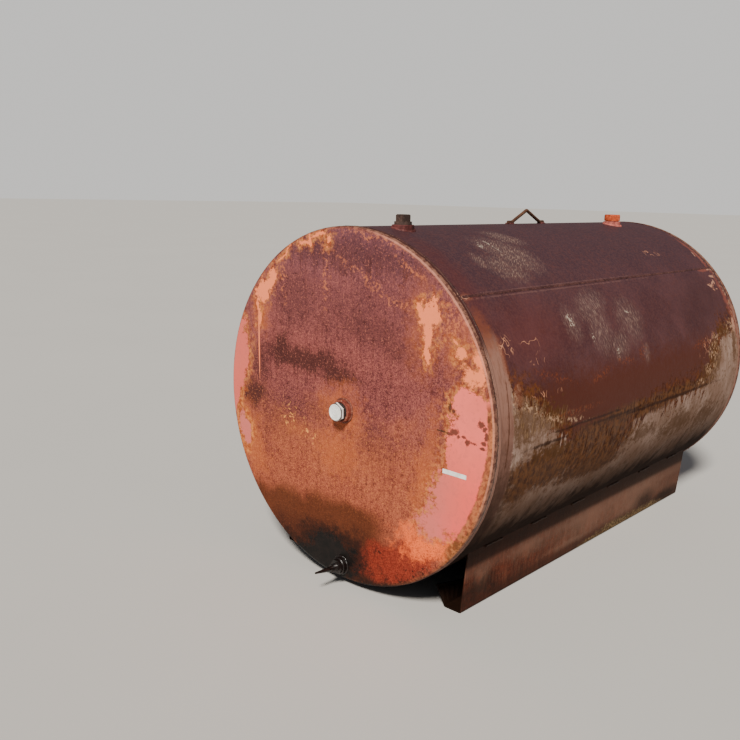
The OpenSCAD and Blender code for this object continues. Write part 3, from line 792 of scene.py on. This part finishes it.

# %% [markdown]
# ## Putting the shell together
# The layers go on in the order in which they came to be: the dark paint, the fringe of rust and the bare primer, the
# brown and olive runs, the painted shade of the crease, the dirt and painted shade of the underside, and the scrapes.

# %% Shell finish
def shell_paint(angle, clouds, blotches, grain, moved):
    grit = spread(grain, 0.42, 0.6)
    base = two_tone(clouds, 0.35, 0.65, "#41272a", "#523436")
    # towards the crown: the paint's purple-grey tone, partly a painted sheen of the sky's reflection
    base = tint(base, spread(angle, 24.0, 58.0), 0.85, "#38272e")
    base = tint(base, spread(blotches, 0.46, 0.66), 0.3, "#55302b")
    base = tint(base, grit, 0.24, "#6b4640")
    base = tint(base, patches(moved, RED, 0.2, 1.2), 0.25, "#582019")
    dusk = patches(moved, on_sheet([(1.56, 29, 0.22, 0.1)]), 0.2, 1.2)
    base = tint(base, dusk, 0.35, "#2b1a1b")
    lower = spread(times_plus(moved[2], 5.0, angle), 24.0, 11.0)
    return tint(base, lower, 0.86, "#4c2215")


def shell_primer(clouds, blotches, run, fine_run, level, base):
    brown_tone = two_tone(blotches, 0.42, 0.6, "#3a1d0e", "#6e3e1c")
    brown = spread(level, 10.0, 2.0)
    base = tint(base, brown, 0.75, brown_tone)
    primer = two_tone(clouds, 0.35, 0.65, "#84685a", "#a38a7e")
    streaky = larger(times(run, 0.5), times(fine_run, 0.3))
    primer = tint(primer, streaky, 0.7, "#5c4026")
    primer = tint(primer, spread(blotches, 0.55, 0.6), 0.5, "#553719")
    return blend(spread(level, 1.2, -1.2), base, primer), brown


def shell_finish():
    material = start_finish("shell_paint_worn")
    place = stamp(shell_place)
    along, angle, point = place["Along"], place["Angle"], place["Point"]
    at = split(place["Sheet"])
    u, v = at["X"], at["Y"]
    clouds, blotches, grain = mottled(point, 0.2, 0.02, 0.008)
    moved = wandered(u, v, point, 0.12, 0.07)
    tear = moved[2]
    spot = u, v, tear
    run = streaked(along, v, 0.03, 0.14, 0.42)
    run = times(run, spread(angle, -32.0, -14.0, 0.4, 1.0))
    fine_run = streaked(along, v, 0.008, 0.06, 0.44)
    fine_run = times(fine_run, spread(angle, -28.0, -9.0, 0.15, 1.0))

    base = shell_paint(angle, clouds, blotches, grain, moved)
    drag = spread(angle, 2.0, -6.0)
    hang = shifted(angle, run, times(drag, 7.0))
    hang = shifted(hang, fine_run, times(drag, 4.0))
    level = minus(hang, primer_reach(along))
    level = shifted(level, tear, 9.0)
    base, brown = shell_primer(clouds, blotches, run, fine_run, level, base)
    band = patches(moved, BROWN_BAND, 0.45, 0.45)
    band_tone = two_tone(blotches, 0.42, 0.6, "#341709", "#5f391d")
    band_tone = tint(band_tone, fine_run, 0.3, "#7a5638")
    base = tint(base, band, 0.92, band_tone)
    olive = patches(moved, OLIVE, 1.4, 0.7)
    base = tint(base, olive, 0.7, "#4e3014")
    flakes = patches(moved, FLAKES, 1.0, 0.8)
    chips = streaked(times_plus(v, 0.3, along), v, 0.009, 0.028, 0.5)
    base = tint(base, times(flakes, chips), 0.55, "#8f7052")
    crumbs = speckled(point, 0.014, 0.53)
    crumbs = times(crumbs, patches(spot, CREAM, 0.9, 0.9))
    base = tint(base, crumbs, 0.6, "#b8967a")
    wavy = wandered(u, v, point, 0.15, 0.02)
    # painted shade of the crease: thin dark brown lines where the fold in the sheet lies in shade
    crease_shade = patches((wavy[0], wavy[1], tear), CREASE_SHADE, 0.9, 0.9)
    base = tint(base, crease_shade, 0.75, "#27120a")
    # painted shade of the underside: darker and warmer below -10 degrees, like shade lit by light bounced from the
    # ground
    base = tint(base, spread(angle, -10.0, -30.0), 0.5, "#4b301d")
    smear = noise(flat_point(over(along, 0.05), over(v, 0.11)), 1.0, 5.0, 0.65)
    low_edge = shifted(angle, smear, 26.0)
    smear = times(spread(smear, 0.5, 0.62), spread(angle, -6.0, -16.0))
    base = tint(base, smear, 0.35, "#4a2e1c")
    base = shell_rims(spot, along, angle, base)
    # dirt and painted shade: the underside runs to near black below about -20 degrees
    dirt_and_shade = spread(times_plus(run, 2.0, low_edge), -20.5, -38.0)
    base = tint(base, dirt_and_shade, 0.97, "#1b0d07")
    base = shell_scuffs(spot, point, base)
    rough = blend_value(brown, times_plus(blotches, 0.2, 0.42), 0.8)
    rough = blend_value(dirt_and_shade, rough, 1.0)
    height = times_plus(grain, 0.4, blotches)
    close_finish(base, rough, height, 0.0006, CHALKY)
    return material


dress(shell_finish(), "shell")
print("shell dressed")

# %% [markdown]
# ## Smaller finishes
# Runners, welds, fittings, lug and plug each have their own paint and age, but they are all the same recipe with
# other colours: a dark and a light tone by blotches, streaks down the surface, and fine dots of fresh rust. One
# function mixes them and puts the finish on its nodes, so each is a few choices. The runners add worn and stained
# patches, dried mud along the lower edge, a faint painted light just below the shade, the painted shade under the
# shell and painted shade on the inner face, which is found by the slope of the web. The stitches under the shell
# carry dark tones as painted shade. The bead round a head is paler below, where the shell beside it lost its paint.

# %% Finish for the small steel parts
def steel_finish(name, worn_by, dark, light, dot_tone, dot_level=0.6, streak_tone=None, streak=0.0, rough=0.65,
                 cloud_size=0.08, marks=None, gloss=DRY):
    material = start_finish(name)
    point = object_point()
    at = split(point)
    clouds, blotches, grain = mottled(point, cloud_size, 0.012, 0.0025)
    mix = times_plus(clouds, 0.5, times(blotches, 0.5))
    base = two_tone(mix, 0.38, 0.62, dark, light)
    if streak_tone:
        across = maths("ADD", at["X"], at["Y"])
        run = streaked(across, at["Z"], 0.006, 0.12, 0.48)
        base = tint(base, run, streak, streak_tone)
    dots = speckled(point, 0.005, dot_level)
    base = tint(base, dots, 0.7, dot_tone)
    if marks:
        base = marks(base, point, at)
    height = times_plus(grain, 0.4, blotches)
    satin = times_plus(blotches, 0.2, rough - 0.1)
    close_finish(base, satin, height, 0.0008, gloss)
    dress(material, *worn_by.split())
    return material


WORN = [
    (0.22, 0.1, 0.035, 0.045), (0.5, 0.12, 0.1, 0.03), (0.9, 0.11, 0.2, 0.045), (1.3, 0.1, 0.2, 0.06),
    (0.8, 0.05, 0.14, 0.012)]
STAIN = [(1.4, 0.055, 0.08, 0.035), (1.6, 0.03, 0.12, 0.025), (0.2, 0.06, 0.1, 0.03)]
MUD = [(1.2, 0.0, 0.22, 0.034), (1.42, 0.0, 0.14, 0.028), (0.98, 0.0, 0.14, 0.018)]
SHADE_BOTTOM, SHADE_TOP = 0.143, 0.165
WEB_SLOPE, WEB_INSIDE = math.tan(math.radians(5)), 0.4055
PALE_BELOW = axis_z + 0.3


def runner_marks(base, point, at):
    along, z = minus(at["Y"], face_y), at["Z"]
    moved = wandered(along, z, point, 0.07, 0.04)
    spot = along, z, moved[2]
    worn = patches(moved, WORN, 0.9, 1.2)
    soft = streaked(along, z, 0.022, 0.25, 0.45)
    base = tint(base, soft, 0.35, "#3a1a10")
    base = tint(base, spread(along, 0.3, 1.1), 0.4, "#795848")
    base = tint(base, spread(along, 1.0, 1.6), 0.4, "#4c3529")
    base = tint(base, worn, 0.28, "#8e705e")
    # painted light: a faint lighter band just below the shade under the shell
    base = tint(base, spread(z, 0.1, 0.13), 0.16, "#9c7664")
    base = tint(base, spread(z, 0.06, 0.02), 0.6, "#26140c")
    base = tint(base, patches(spot, STAIN, 0.6, 1.2), 0.75, "#1d110b")
    mud = patches(spot, MUD, 0.7, 0.35)
    crumb = noise(point, 140.0, 4.0, 0.7)
    crumb_tone = two_tone(crumb, 0.42, 0.6, "#3d2c1a", "#7d6647")
    base = tint(base, mud, 0.92, crumb_tone)
    base = tint(base, spread(z, SHADE_BOTTOM, SHADE_TOP), 0.78, "#170a05")
    # painted shade: the inner face of each web, turned towards the belly, is darkened to near black
    lean = times_plus(z, -WEB_SLOPE, maths("ABSOLUTE", at["X"]))
    return tint(base, spread(lean, WEB_INSIDE + 0.0007, WEB_INSIDE - 0.0007), 0.85, "#0e0905")


def girth_marks(base, point, at):
    return tint(base, spread(at["Z"], PALE_BELOW, PALE_BELOW - 0.06), 0.6, "#8d6759")


steel_finish("runner_paint", "right_runner left_runner", "#3a1b11", "#633020", "#8a6650", 0.64, "#764c38", 0.35,
             marks=runner_marks, gloss=FLAT)
seam_weld = steel_finish("seam_weld", "shell_seam_weld", "#341c1c", "#553531", "#87614f", 0.63, rough=0.55,
                         cloud_size=0.05)
weld_rust = steel_finish("weld_rust", "middle_coupling_weld", "#5a3028", "#7e493c", "#b07a5c", rough=0.6,
                         cloud_size=0.05)
# painted shade: the stitches under the shell get dark tones to match the shade they sit in
shaded_weld = steel_finish("shaded_weld", "right_runner_welds left_runner_welds", "#261711", "#3b261b", "#5a3c2c",
                           0.62, cloud_size=0.05)
rim_weld = steel_finish("rim_weld", "front_girth_weld rear_girth_weld", "#2a1412", "#4a2c26", "#a57e68", 0.64,
                        rough=0.6, cloud_size=0.06, marks=girth_marks)
crown_paint = steel_finish("crown_paint", "fill_coupling fill_coupling_weld lug_front_weld lug_rear_weld", "#42201f",
                           "#6a3836", "#94655a", 0.63, rough=0.55)
vent_paint = steel_finish("vent_paint", "vent_coupling vent_coupling_weld", "#7a3c38", "#c06c60", "#d68c7c",
                          cloud_size=0.05)
steel_finish("vent_rust", "vent_cap", "#6b2a16", "#c4532f", "#ee9166", cloud_size=0.03)
steel_finish("fitting_rust", "middle_coupling", "#642c24", "#96503f", "#c08a6c")
steel_finish("plug_iron", "fill_plug", "#382b27", "#5c4740", "#8a6a58", 0.66, rough=0.5)
steel_finish("lug_rust", "lifting_lug", "#38221a", "#573b2c", "#7a5038")
oily_steel = steel_finish(
    "oily_steel", "drain_coupling drain_coupling_weld drain_bushing drain_nipple drain_spout", "#0b0706", "#1c1210",
    "#4a342c", 0.68, rough=0.3, gloss=WET)
print("small parts dressed")

# %% [markdown]
# ## The plastic plug
# The middle coupling is closed by a white plastic plug. Plastic is one colour right through, so its age shows as grey
# dust. A dark ring at the groove round the turned face and a dark rear half are painted shade. The depths are
# measured back from the plug's tip.

# %% Plastic finish
def plastic_finish():
    material = start_finish("plug_plastic")
    point = object_point()
    at = split(point)
    front = minus(face_y, at["Y"])
    clouds, blotches, grain = mottled(point, 0.03, 0.008, 0.0015)
    base = two_tone(clouds, 0.4, 0.65, "#fbfbf8", "#e8e8e2")
    base = tint(base, spread(blotches, 0.56, 0.7), 0.4, "#a9a296")
    radius = distance(flat_point(at["X"], minus(at["Z"], middle("middle_plug")[2])))
    tip = face_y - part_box("middle_plug")[0][1]
    # painted shade: a dark ring in the groove just behind the turned face
    groove_shade = times(spread(front, tip - 0.0042, tip - 0.0036), spread(radius, 0.0266, 0.0269))
    base = tint(base, groove_shade, 0.95, "#1d1c1b")
    # painted shade: the rear part of the plug, in the gap in front of the coupling, is darkened to near black
    rear_shade = spread(front, tip - 0.0098, tip - 0.0112)
    base = tint(base, rear_shade, 0.97, "#0b0909")
    rough = times_plus(blotches, 0.2, 0.3)
    close_finish(base, rough, grain, 0.0002, WET)
    return material


plug_plastic = plastic_finish()
dress(plug_plastic, "middle_plug")
print("plug dressed")

# %% [markdown]
# ## Helpers for modelled pieces
# Every modelled piece starts as a bmesh, gets its shape from operators and ends as one object at
# the origin. Weld metal needs two more touches: ripples, the fine scallops that the welder's hand
# leaves, and lumps, where the speed or the heat changed. Both push points along their normals.
# put_in_place() turns a mesh about an axis and then moves it, and install() hands a piece over.

# %% Helpers that finish, ripple and dent a mesh
def finish_piece(name, mesh, material, smooth=False):
    bmesh.ops.recalc_face_normals(mesh, faces=mesh.faces)
    data = bpy.data.meshes.new(name)
    mesh.to_mesh(data)
    mesh.free()
    piece = bpy.data.objects.new(name, data)
    bpy.context.scene.collection.objects.link(piece)
    for face in data.polygons:
        face.use_smooth = smooth
    data.materials.append(material)
    return piece


def push(mesh, height, amount):
    bmesh.ops.recalc_face_normals(mesh, faces=mesh.faces)
    mesh.normal_update()
    moves = [v.normal * height * amount(v.co) for v in mesh.verts]
    for v, move in zip(mesh.verts, moves):
        v.co += move


def lumpy(mesh, height, size, shift=0.0):
    offset = Vector((shift, shift, shift))
    push(mesh, height, lambda p: field.noise((p + offset) / size))


def ripple(mesh, measure, pitch, height):
    push(mesh, height, lambda p: abs(math.sin(math.pi * measure(p) / pitch)) - 0.5)


def put_in_place(mesh, step, degrees=0, axis="X", verts=None):
    verts = verts or mesh.verts
    bmesh.ops.rotate(mesh, cent=(0, 0, 0), matrix=Matrix.Rotation(math.radians(degrees), 3, axis), verts=verts)
    bmesh.ops.translate(mesh, vec=step, verts=verts)


def install(piece, slot, *replaced):
    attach(piece, "root")
    if replaced:
        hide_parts(*replaced)
    print(piece.name, len(piece.data.polygons), "faces")


print("piece helpers ready")

# %% [markdown]
# ## Weld beads
# A bead is round metal that froze in a corner. A straight one is a ring of points, squashed to the
# bead's section, extruded step by step along the joint and capped. A round one is the same ring
# spun about the pipe or the tank. They replace the plain beads of the CAD model, at the same place
# and size.

# %% Helpers for straight and round beads
def straight_bead(mesh, length, width, height, step=0.003):
    verts = bmesh.ops.create_circle(mesh, cap_ends=True, segments=12, radius=1.0)["verts"]
    bmesh.ops.scale(mesh, vec=(width / 2, height, 1), verts=verts)
    put_in_place(mesh, (0, 0, 0), 90, verts=verts)
    ring = list(verts[0].link_faces[0].edges)
    everything = list(verts)
    steps = round(length / step)
    for _ in range(steps):
        grown = bmesh.ops.extrude_edge_only(mesh, edges=ring)["geom"]
        ring = [g for g in grown if isinstance(g, bmesh.types.BMEdge)]
        moved = [g for g in grown if isinstance(g, bmesh.types.BMVert)]
        put_in_place(mesh, (0, length / steps, 0), verts=moved)
        everything += moved
    bmesh.ops.contextual_create(mesh, geom=ring)
    return everything


def round_bead(mesh, ring_r, width, height, steps):
    verts = bmesh.ops.create_circle(mesh, cap_ends=False, segments=12, radius=1.0)["verts"]
    edges = list({e for v in verts for e in v.link_edges})
    bmesh.ops.scale(mesh, vec=(width / 2, height, 1), verts=verts)
    put_in_place(mesh, (ring_r, 0, 0), 90, verts=verts)
    bmesh.ops.spin(mesh, geom=verts + edges, axis=(0, 0, 1), cent=(0, 0, 0), steps=steps,
                   angle=math.radians(360), use_merge=True)
    bmesh.ops.remove_doubles(mesh, verts=mesh.verts, dist=0.00001)


def round_length(point):
    return math.atan2(point.y, point.x) * point.to_2d().length


print("bead helpers ready")

# %% Seam along the shell
def make_seam():
    low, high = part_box("shell_seam_weld")
    x, _, z = middle("shell_seam_weld")
    angle = math.degrees(math.atan2(z - axis_z, x))
    mesh = bmesh.new()
    straight_bead(mesh, high[1] - low[1], width=0.009, height=0.0016)
    ripple(mesh, lambda p: p.y + abs(p.x) * 0.6, pitch=0.0045, height=0.0004)
    lumpy(mesh, height=0.0011, size=0.014)
    lumpy(mesh, height=0.0008, size=0.05, shift=3.0)
    put_in_place(mesh, (0, low[1], shell_r - 0.0002))
    put_in_place(mesh, (0, 0, axis_z), 90 - angle, "Y")
    return finish_piece("seam_bead", mesh, seam_weld, smooth=True)


install(make_seam(), "weld", "shell_seam_weld")

# %% Beads round both heads
GIRTH_DEPTH = 0.0335


def make_girth(name, y):
    mesh = bmesh.new()
    round_bead(mesh, shell_r - 0.0022, width=0.009, height=0.0042, steps=900)
    ripple(mesh, round_length, pitch=0.006, height=0.0005)
    lumpy(mesh, height=0.001, size=0.02, shift=y)
    put_in_place(mesh, (0, y, axis_z), 90)
    return finish_piece(name, mesh, rim_weld, smooth=True)


install(make_girth("front_girth_bead", face_y + GIRTH_DEPTH), "weld", "front_girth_weld")
install(make_girth("rear_girth_bead", back_y - GIRTH_DEPTH), "weld", "rear_girth_weld")

# %% Beads round the pipe fittings
def make_face_ring(name, node, material, leg):
    mesh = bmesh.new()
    round_bead(mesh, half_width(node) - leg * 0.72, width=leg * 1.5, height=leg * 0.78, steps=150)
    ripple(mesh, round_length, pitch=0.006, height=0.0007)
    lumpy(mesh, height=0.0022, size=0.012, shift=leg)
    put_in_place(mesh, (0, face_y - 0.0005, middle(node)[2]), 90)
    return finish_piece(name, mesh, material, smooth=True)


def make_saddle_ring(name, node, material, leg=0.006):
    x, y, _ = middle(node)
    mesh = bmesh.new()
    round_bead(mesh, half_width(node) - leg * 0.72, width=leg * 1.5, height=leg * 0.9, steps=150)
    ripple(mesh, round_length, pitch=0.006, height=0.0007)
    lumpy(mesh, height=0.0024, size=0.013, shift=y)
    put_in_place(mesh, (x, y, axis_z))
    for v in mesh.verts:
        v.co.z += math.sqrt(shell_r ** 2 - v.co.x ** 2)
    return finish_piece(name, mesh, material, smooth=True)


install(make_face_ring("middle_weld_ring", "middle_coupling_weld", weld_rust, 0.006), "weld", "middle_coupling_weld")
install(make_face_ring("drain_weld_ring", "drain_coupling_weld", oily_steel, 0.005), "oily_steel",
        "drain_coupling_weld")
install(make_saddle_ring("fill_weld_ring", "fill_coupling_weld", crown_paint), "weld", "fill_coupling_weld")
install(make_saddle_ring("vent_weld_ring", "vent_coupling_weld", vent_paint), "weld", "vent_coupling_weld")

# %% Stitches along the runners and beads at the lug
def make_stitches(name, node, side, leg=0.006, length=0.09, count=6):
    low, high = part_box(node)
    x = (high[0] - leg if side > 0 else low[0] + leg) + side * 0.001
    pitch = (high[1] - low[1] - length) / (count - 1)
    mesh = bmesh.new()
    for i in range(count):
        verts = straight_bead(mesh, length, width=0.010, height=0.0045)
        put_in_place(mesh, (0, low[1] + pitch * i, 0), verts=verts)
    ripple(mesh, lambda p: p.y, pitch=0.006, height=0.0008)
    lumpy(mesh, height=0.0022, size=0.015, shift=side)
    put_in_place(mesh, (x, 0, low[2] + leg - 0.001))
    return finish_piece(name, mesh, shaded_weld, smooth=True)


def make_lug_beads(name, node):
    low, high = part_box(node)
    mesh = bmesh.new()
    for side in (-1, 1):
        verts = straight_bead(mesh, high[1] - low[1], width=0.007, height=0.0035, step=0.002)
        put_in_place(mesh, (side * 0.0085, low[1], axis_z + shell_r + 0.001), verts=verts)
    ripple(mesh, lambda p: p.y, pitch=0.005, height=0.0006)
    lumpy(mesh, height=0.0014, size=0.01)
    return finish_piece(name, mesh, crown_paint, smooth=True)


install(make_stitches("right_stitches", "right_runner_welds", 1), "weld", "right_runner_welds")
install(make_stitches("left_stitches", "left_runner_welds", -1), "weld", "left_runner_welds")
install(make_lug_beads("lug_front_beads", "lug_front_weld"), "weld", "lug_front_weld")
install(make_lug_beads("lug_rear_beads", "lug_rear_weld"), "weld", "lug_rear_weld")

# %% [markdown]
# ## Pipe thread
# A thread is one small tooth that climbs as it goes round. Spin does both at once: it turns the
# tooth about the pipe and, with dvec, moves it along by a fraction of the pitch at every step.

# %% Thread on the drain nipple
def make_thread(name, node, material, turns, pitch=0.0022, steps=40):
    radius = half_width(node)
    mesh = bmesh.new()
    tooth = [mesh.verts.new((radius + dr, 0, dz)) for dr, dz in
             ((-0.0004, 0.0), (0.0006, 0.0009), (0.0006, 0.0013), (-0.0004, 0.0020))]
    edges = [mesh.edges.new((tooth[i], tooth[(i + 1) % 4])) for i in range(4)]
    bmesh.ops.spin(mesh, geom=tooth + edges, axis=(0, 0, 1), cent=(0, 0, 0), dvec=(0, 0, pitch / steps),
                   steps=turns * steps, angle=math.radians(360) * turns, use_merge=False)
    bmesh.ops.holes_fill(mesh, edges=[e for e in mesh.edges if e.is_boundary], sides=4)
    put_in_place(mesh, (0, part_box(node)[0][1] + 0.0005, middle(node)[2]), -90)
    return finish_piece(name, mesh, material)


install(make_thread("nipple_thread", "drain_nipple", oily_steel, 8), "oily_steel")

# %% [markdown]
# ## The turned face of the plug
# The plug's face was turned on a lathe: a raised rim, a shallow dish and a few rings. A flat disc
# is inset again and again, and each inset is pushed a little in or out.

# %% Plug face
PLUG_RINGS = (
    (0.0006, 0.0012), (0.0028, 0.0), (0.0007, -0.0009), (0.0045, 0.0), (0.0005, 0.0004), (0.0008, 0.0),
    (0.0005, -0.0004), (0.006, 0.0), (0.0006, 0.0005), (0.0022, 0.0), (0.0008, -0.0008))


def make_plug_face():
    mesh = bmesh.new()
    made = bmesh.ops.create_circle(mesh, cap_ends=True, segments=72, radius=0.0262)
    face = made["verts"][0].link_faces[0]
    for inset, depth in PLUG_RINGS:
        bmesh.ops.inset_individual(mesh, faces=[face], thickness=inset, depth=depth)
    put_in_place(mesh, (0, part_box("middle_plug")[0][1] - 0.0001, middle("middle_plug")[2]), 90)
    return finish_piece("plug_turned_face", mesh, plug_plastic)


install(make_plug_face(), "plug_plastic")

# %% [markdown]
# ## The bare label
# A strip of white film sticks on the pink paint of the head. It is a plane cut to size, with a
# hair of thickness and its corners just lifted, so that light catches its edge. It stays blank.

# %% Label
LABEL_WIDE, LABEL_HIGH = 0.086, 0.0135
LABEL_X, LABEL_Z = 0.4545, 0.5055


def make_label():
    mesh = bmesh.new()
    bmesh.ops.create_grid(mesh, x_segments=24, y_segments=4, size=0.5)
    bmesh.ops.scale(mesh, vec=(LABEL_WIDE, LABEL_HIGH, 1), verts=mesh.verts)
    for v in mesh.verts:
        v.co.z = 0.0006 + 0.0010 * (abs(v.co.x) / LABEL_WIDE * 2) ** 6
    bmesh.ops.solidify(mesh, geom=mesh.faces, thickness=0.0003)
    turn = Matrix.Rotation(math.radians(90), 4, "X") @ Matrix.Rotation(math.radians(-0.5), 4, "Z")
    bmesh.ops.transform(mesh, matrix=turn, verts=mesh.verts)
    put_in_place(mesh, (LABEL_X, face_y, LABEL_Z))
    return finish_piece("bare_label", mesh, label_finish())


def label_finish():
    material = start_finish("label_film")
    point = object_point()
    clouds, blotches, grain = mottled(point, 0.03, 0.006, 0.001)
    base = two_tone(clouds, 0.4, 0.65, "#f4f3ef", "#dcd6ce")
    close_finish(base, times_plus(blotches, 0.2, 0.4), grain, 0.0001)
    return material


install(make_label(), "plug_plastic")

# %% [markdown]
# ## Studio, light and camera
# A wide pale floor runs out to a pale backdrop. The backdrop is the world itself: seen directly it
# has the floor's tone, but for lighting it is dimmer, so that shadows keep their depth. A Light
# Path node tells the two cases apart. One soft sun stands high at the front, on the side where it
# stood in the photograph, so the head is bright and the belly falls off into shade. The camera has
# the place, the turn and the lens that fit the photograph.

# %% Floor
def make_floor():
    mesh = bmesh.new()
    bmesh.ops.create_grid(mesh, x_segments=2, y_segments=2, size=90)
    return finish_piece("studio_floor", mesh, floor_finish())


def floor_finish():
    material = start_finish("floor_pale")
    point = object_point()
    tone = blend(noise(point, 0.6), colour("#b6b4b0"), colour("#bcbab6"))
    close_finish(tone, 0.9)
    return material


floor = make_floor()
print("floor", [round(v) for v in floor.dimensions])

# %% Backdrop and light
world = bpy.data.worlds.new("studio")
bpy.context.scene.world = world
world.use_nodes = True
open_tree(world.node_tree)
seen = put("LightPath").outputs["Is Camera Ray"]
dim = put("Background", {"Color": (0.86, 0.92, 1.0, 1), "Strength": 0.22}).outputs[0]
pale = put("Background", {"Color": (0.97, 0.95, 0.92, 1), "Strength": 0.8}).outputs[0]
mixed = put("MixShader", {0: seen, 1: dim, 2: pale}).outputs[0]
put("OutputWorld", {"Surface": mixed})


sun_data = bpy.data.lights.new("sun_soft", "SUN")
sun_data.energy = 6.0
sun_data.angle = math.radians(10)
sun_data.color = (1.0, 0.94, 0.86)
sun = bpy.data.objects.new("sun_soft", sun_data)
sun.location = (1.8, -3.0, 4.15)
aim = Vector((0, 0, 0.6))
sun.rotation_euler = (aim - sun.location).to_track_quat("-Z", "Y").to_euler()
bpy.context.scene.collection.objects.link(sun)

# %% Camera
SENSOR = 36  # in millimetres
PICTURE_WIDTH, FOCAL_LENGTH = 740, 838.4  # in pixels
CAMERA_X, CAMERA_BEFORE_FACE, CAMERA_Z = 1.8485, 1.8658, 1.2925
YAW, PITCH, ROLL = (math.radians(angle) for angle in (42.97, 11.82, -1.31))


def camera_turn(yaw, pitch, roll):
    ahead = Vector((-math.sin(yaw) * math.cos(pitch), math.cos(yaw) * math.cos(pitch), -math.sin(pitch)))
    right = Vector((math.cos(yaw), math.sin(yaw), 0))
    down = ahead.cross(right)
    level = math.cos(roll) * right + math.sin(roll) * down
    up = level.cross(ahead)
    return Matrix((level, up, -ahead)).transposed()


camera_data = bpy.data.cameras.new("camera")
camera_data.sensor_width = camera_data.sensor_height = SENSOR
camera_data.lens = FOCAL_LENGTH / PICTURE_WIDTH * SENSOR
camera = bpy.data.objects.new("camera", camera_data)
where = Matrix.Translation((CAMERA_X, face_y - CAMERA_BEFORE_FACE, CAMERA_Z))
camera.matrix_world = where @ camera_turn(YAW, PITCH, ROLL).to_4x4()
bpy.context.scene.collection.objects.link(camera)
bpy.context.scene.camera = camera
print("lens", round(camera_data.lens, 2), "mm")
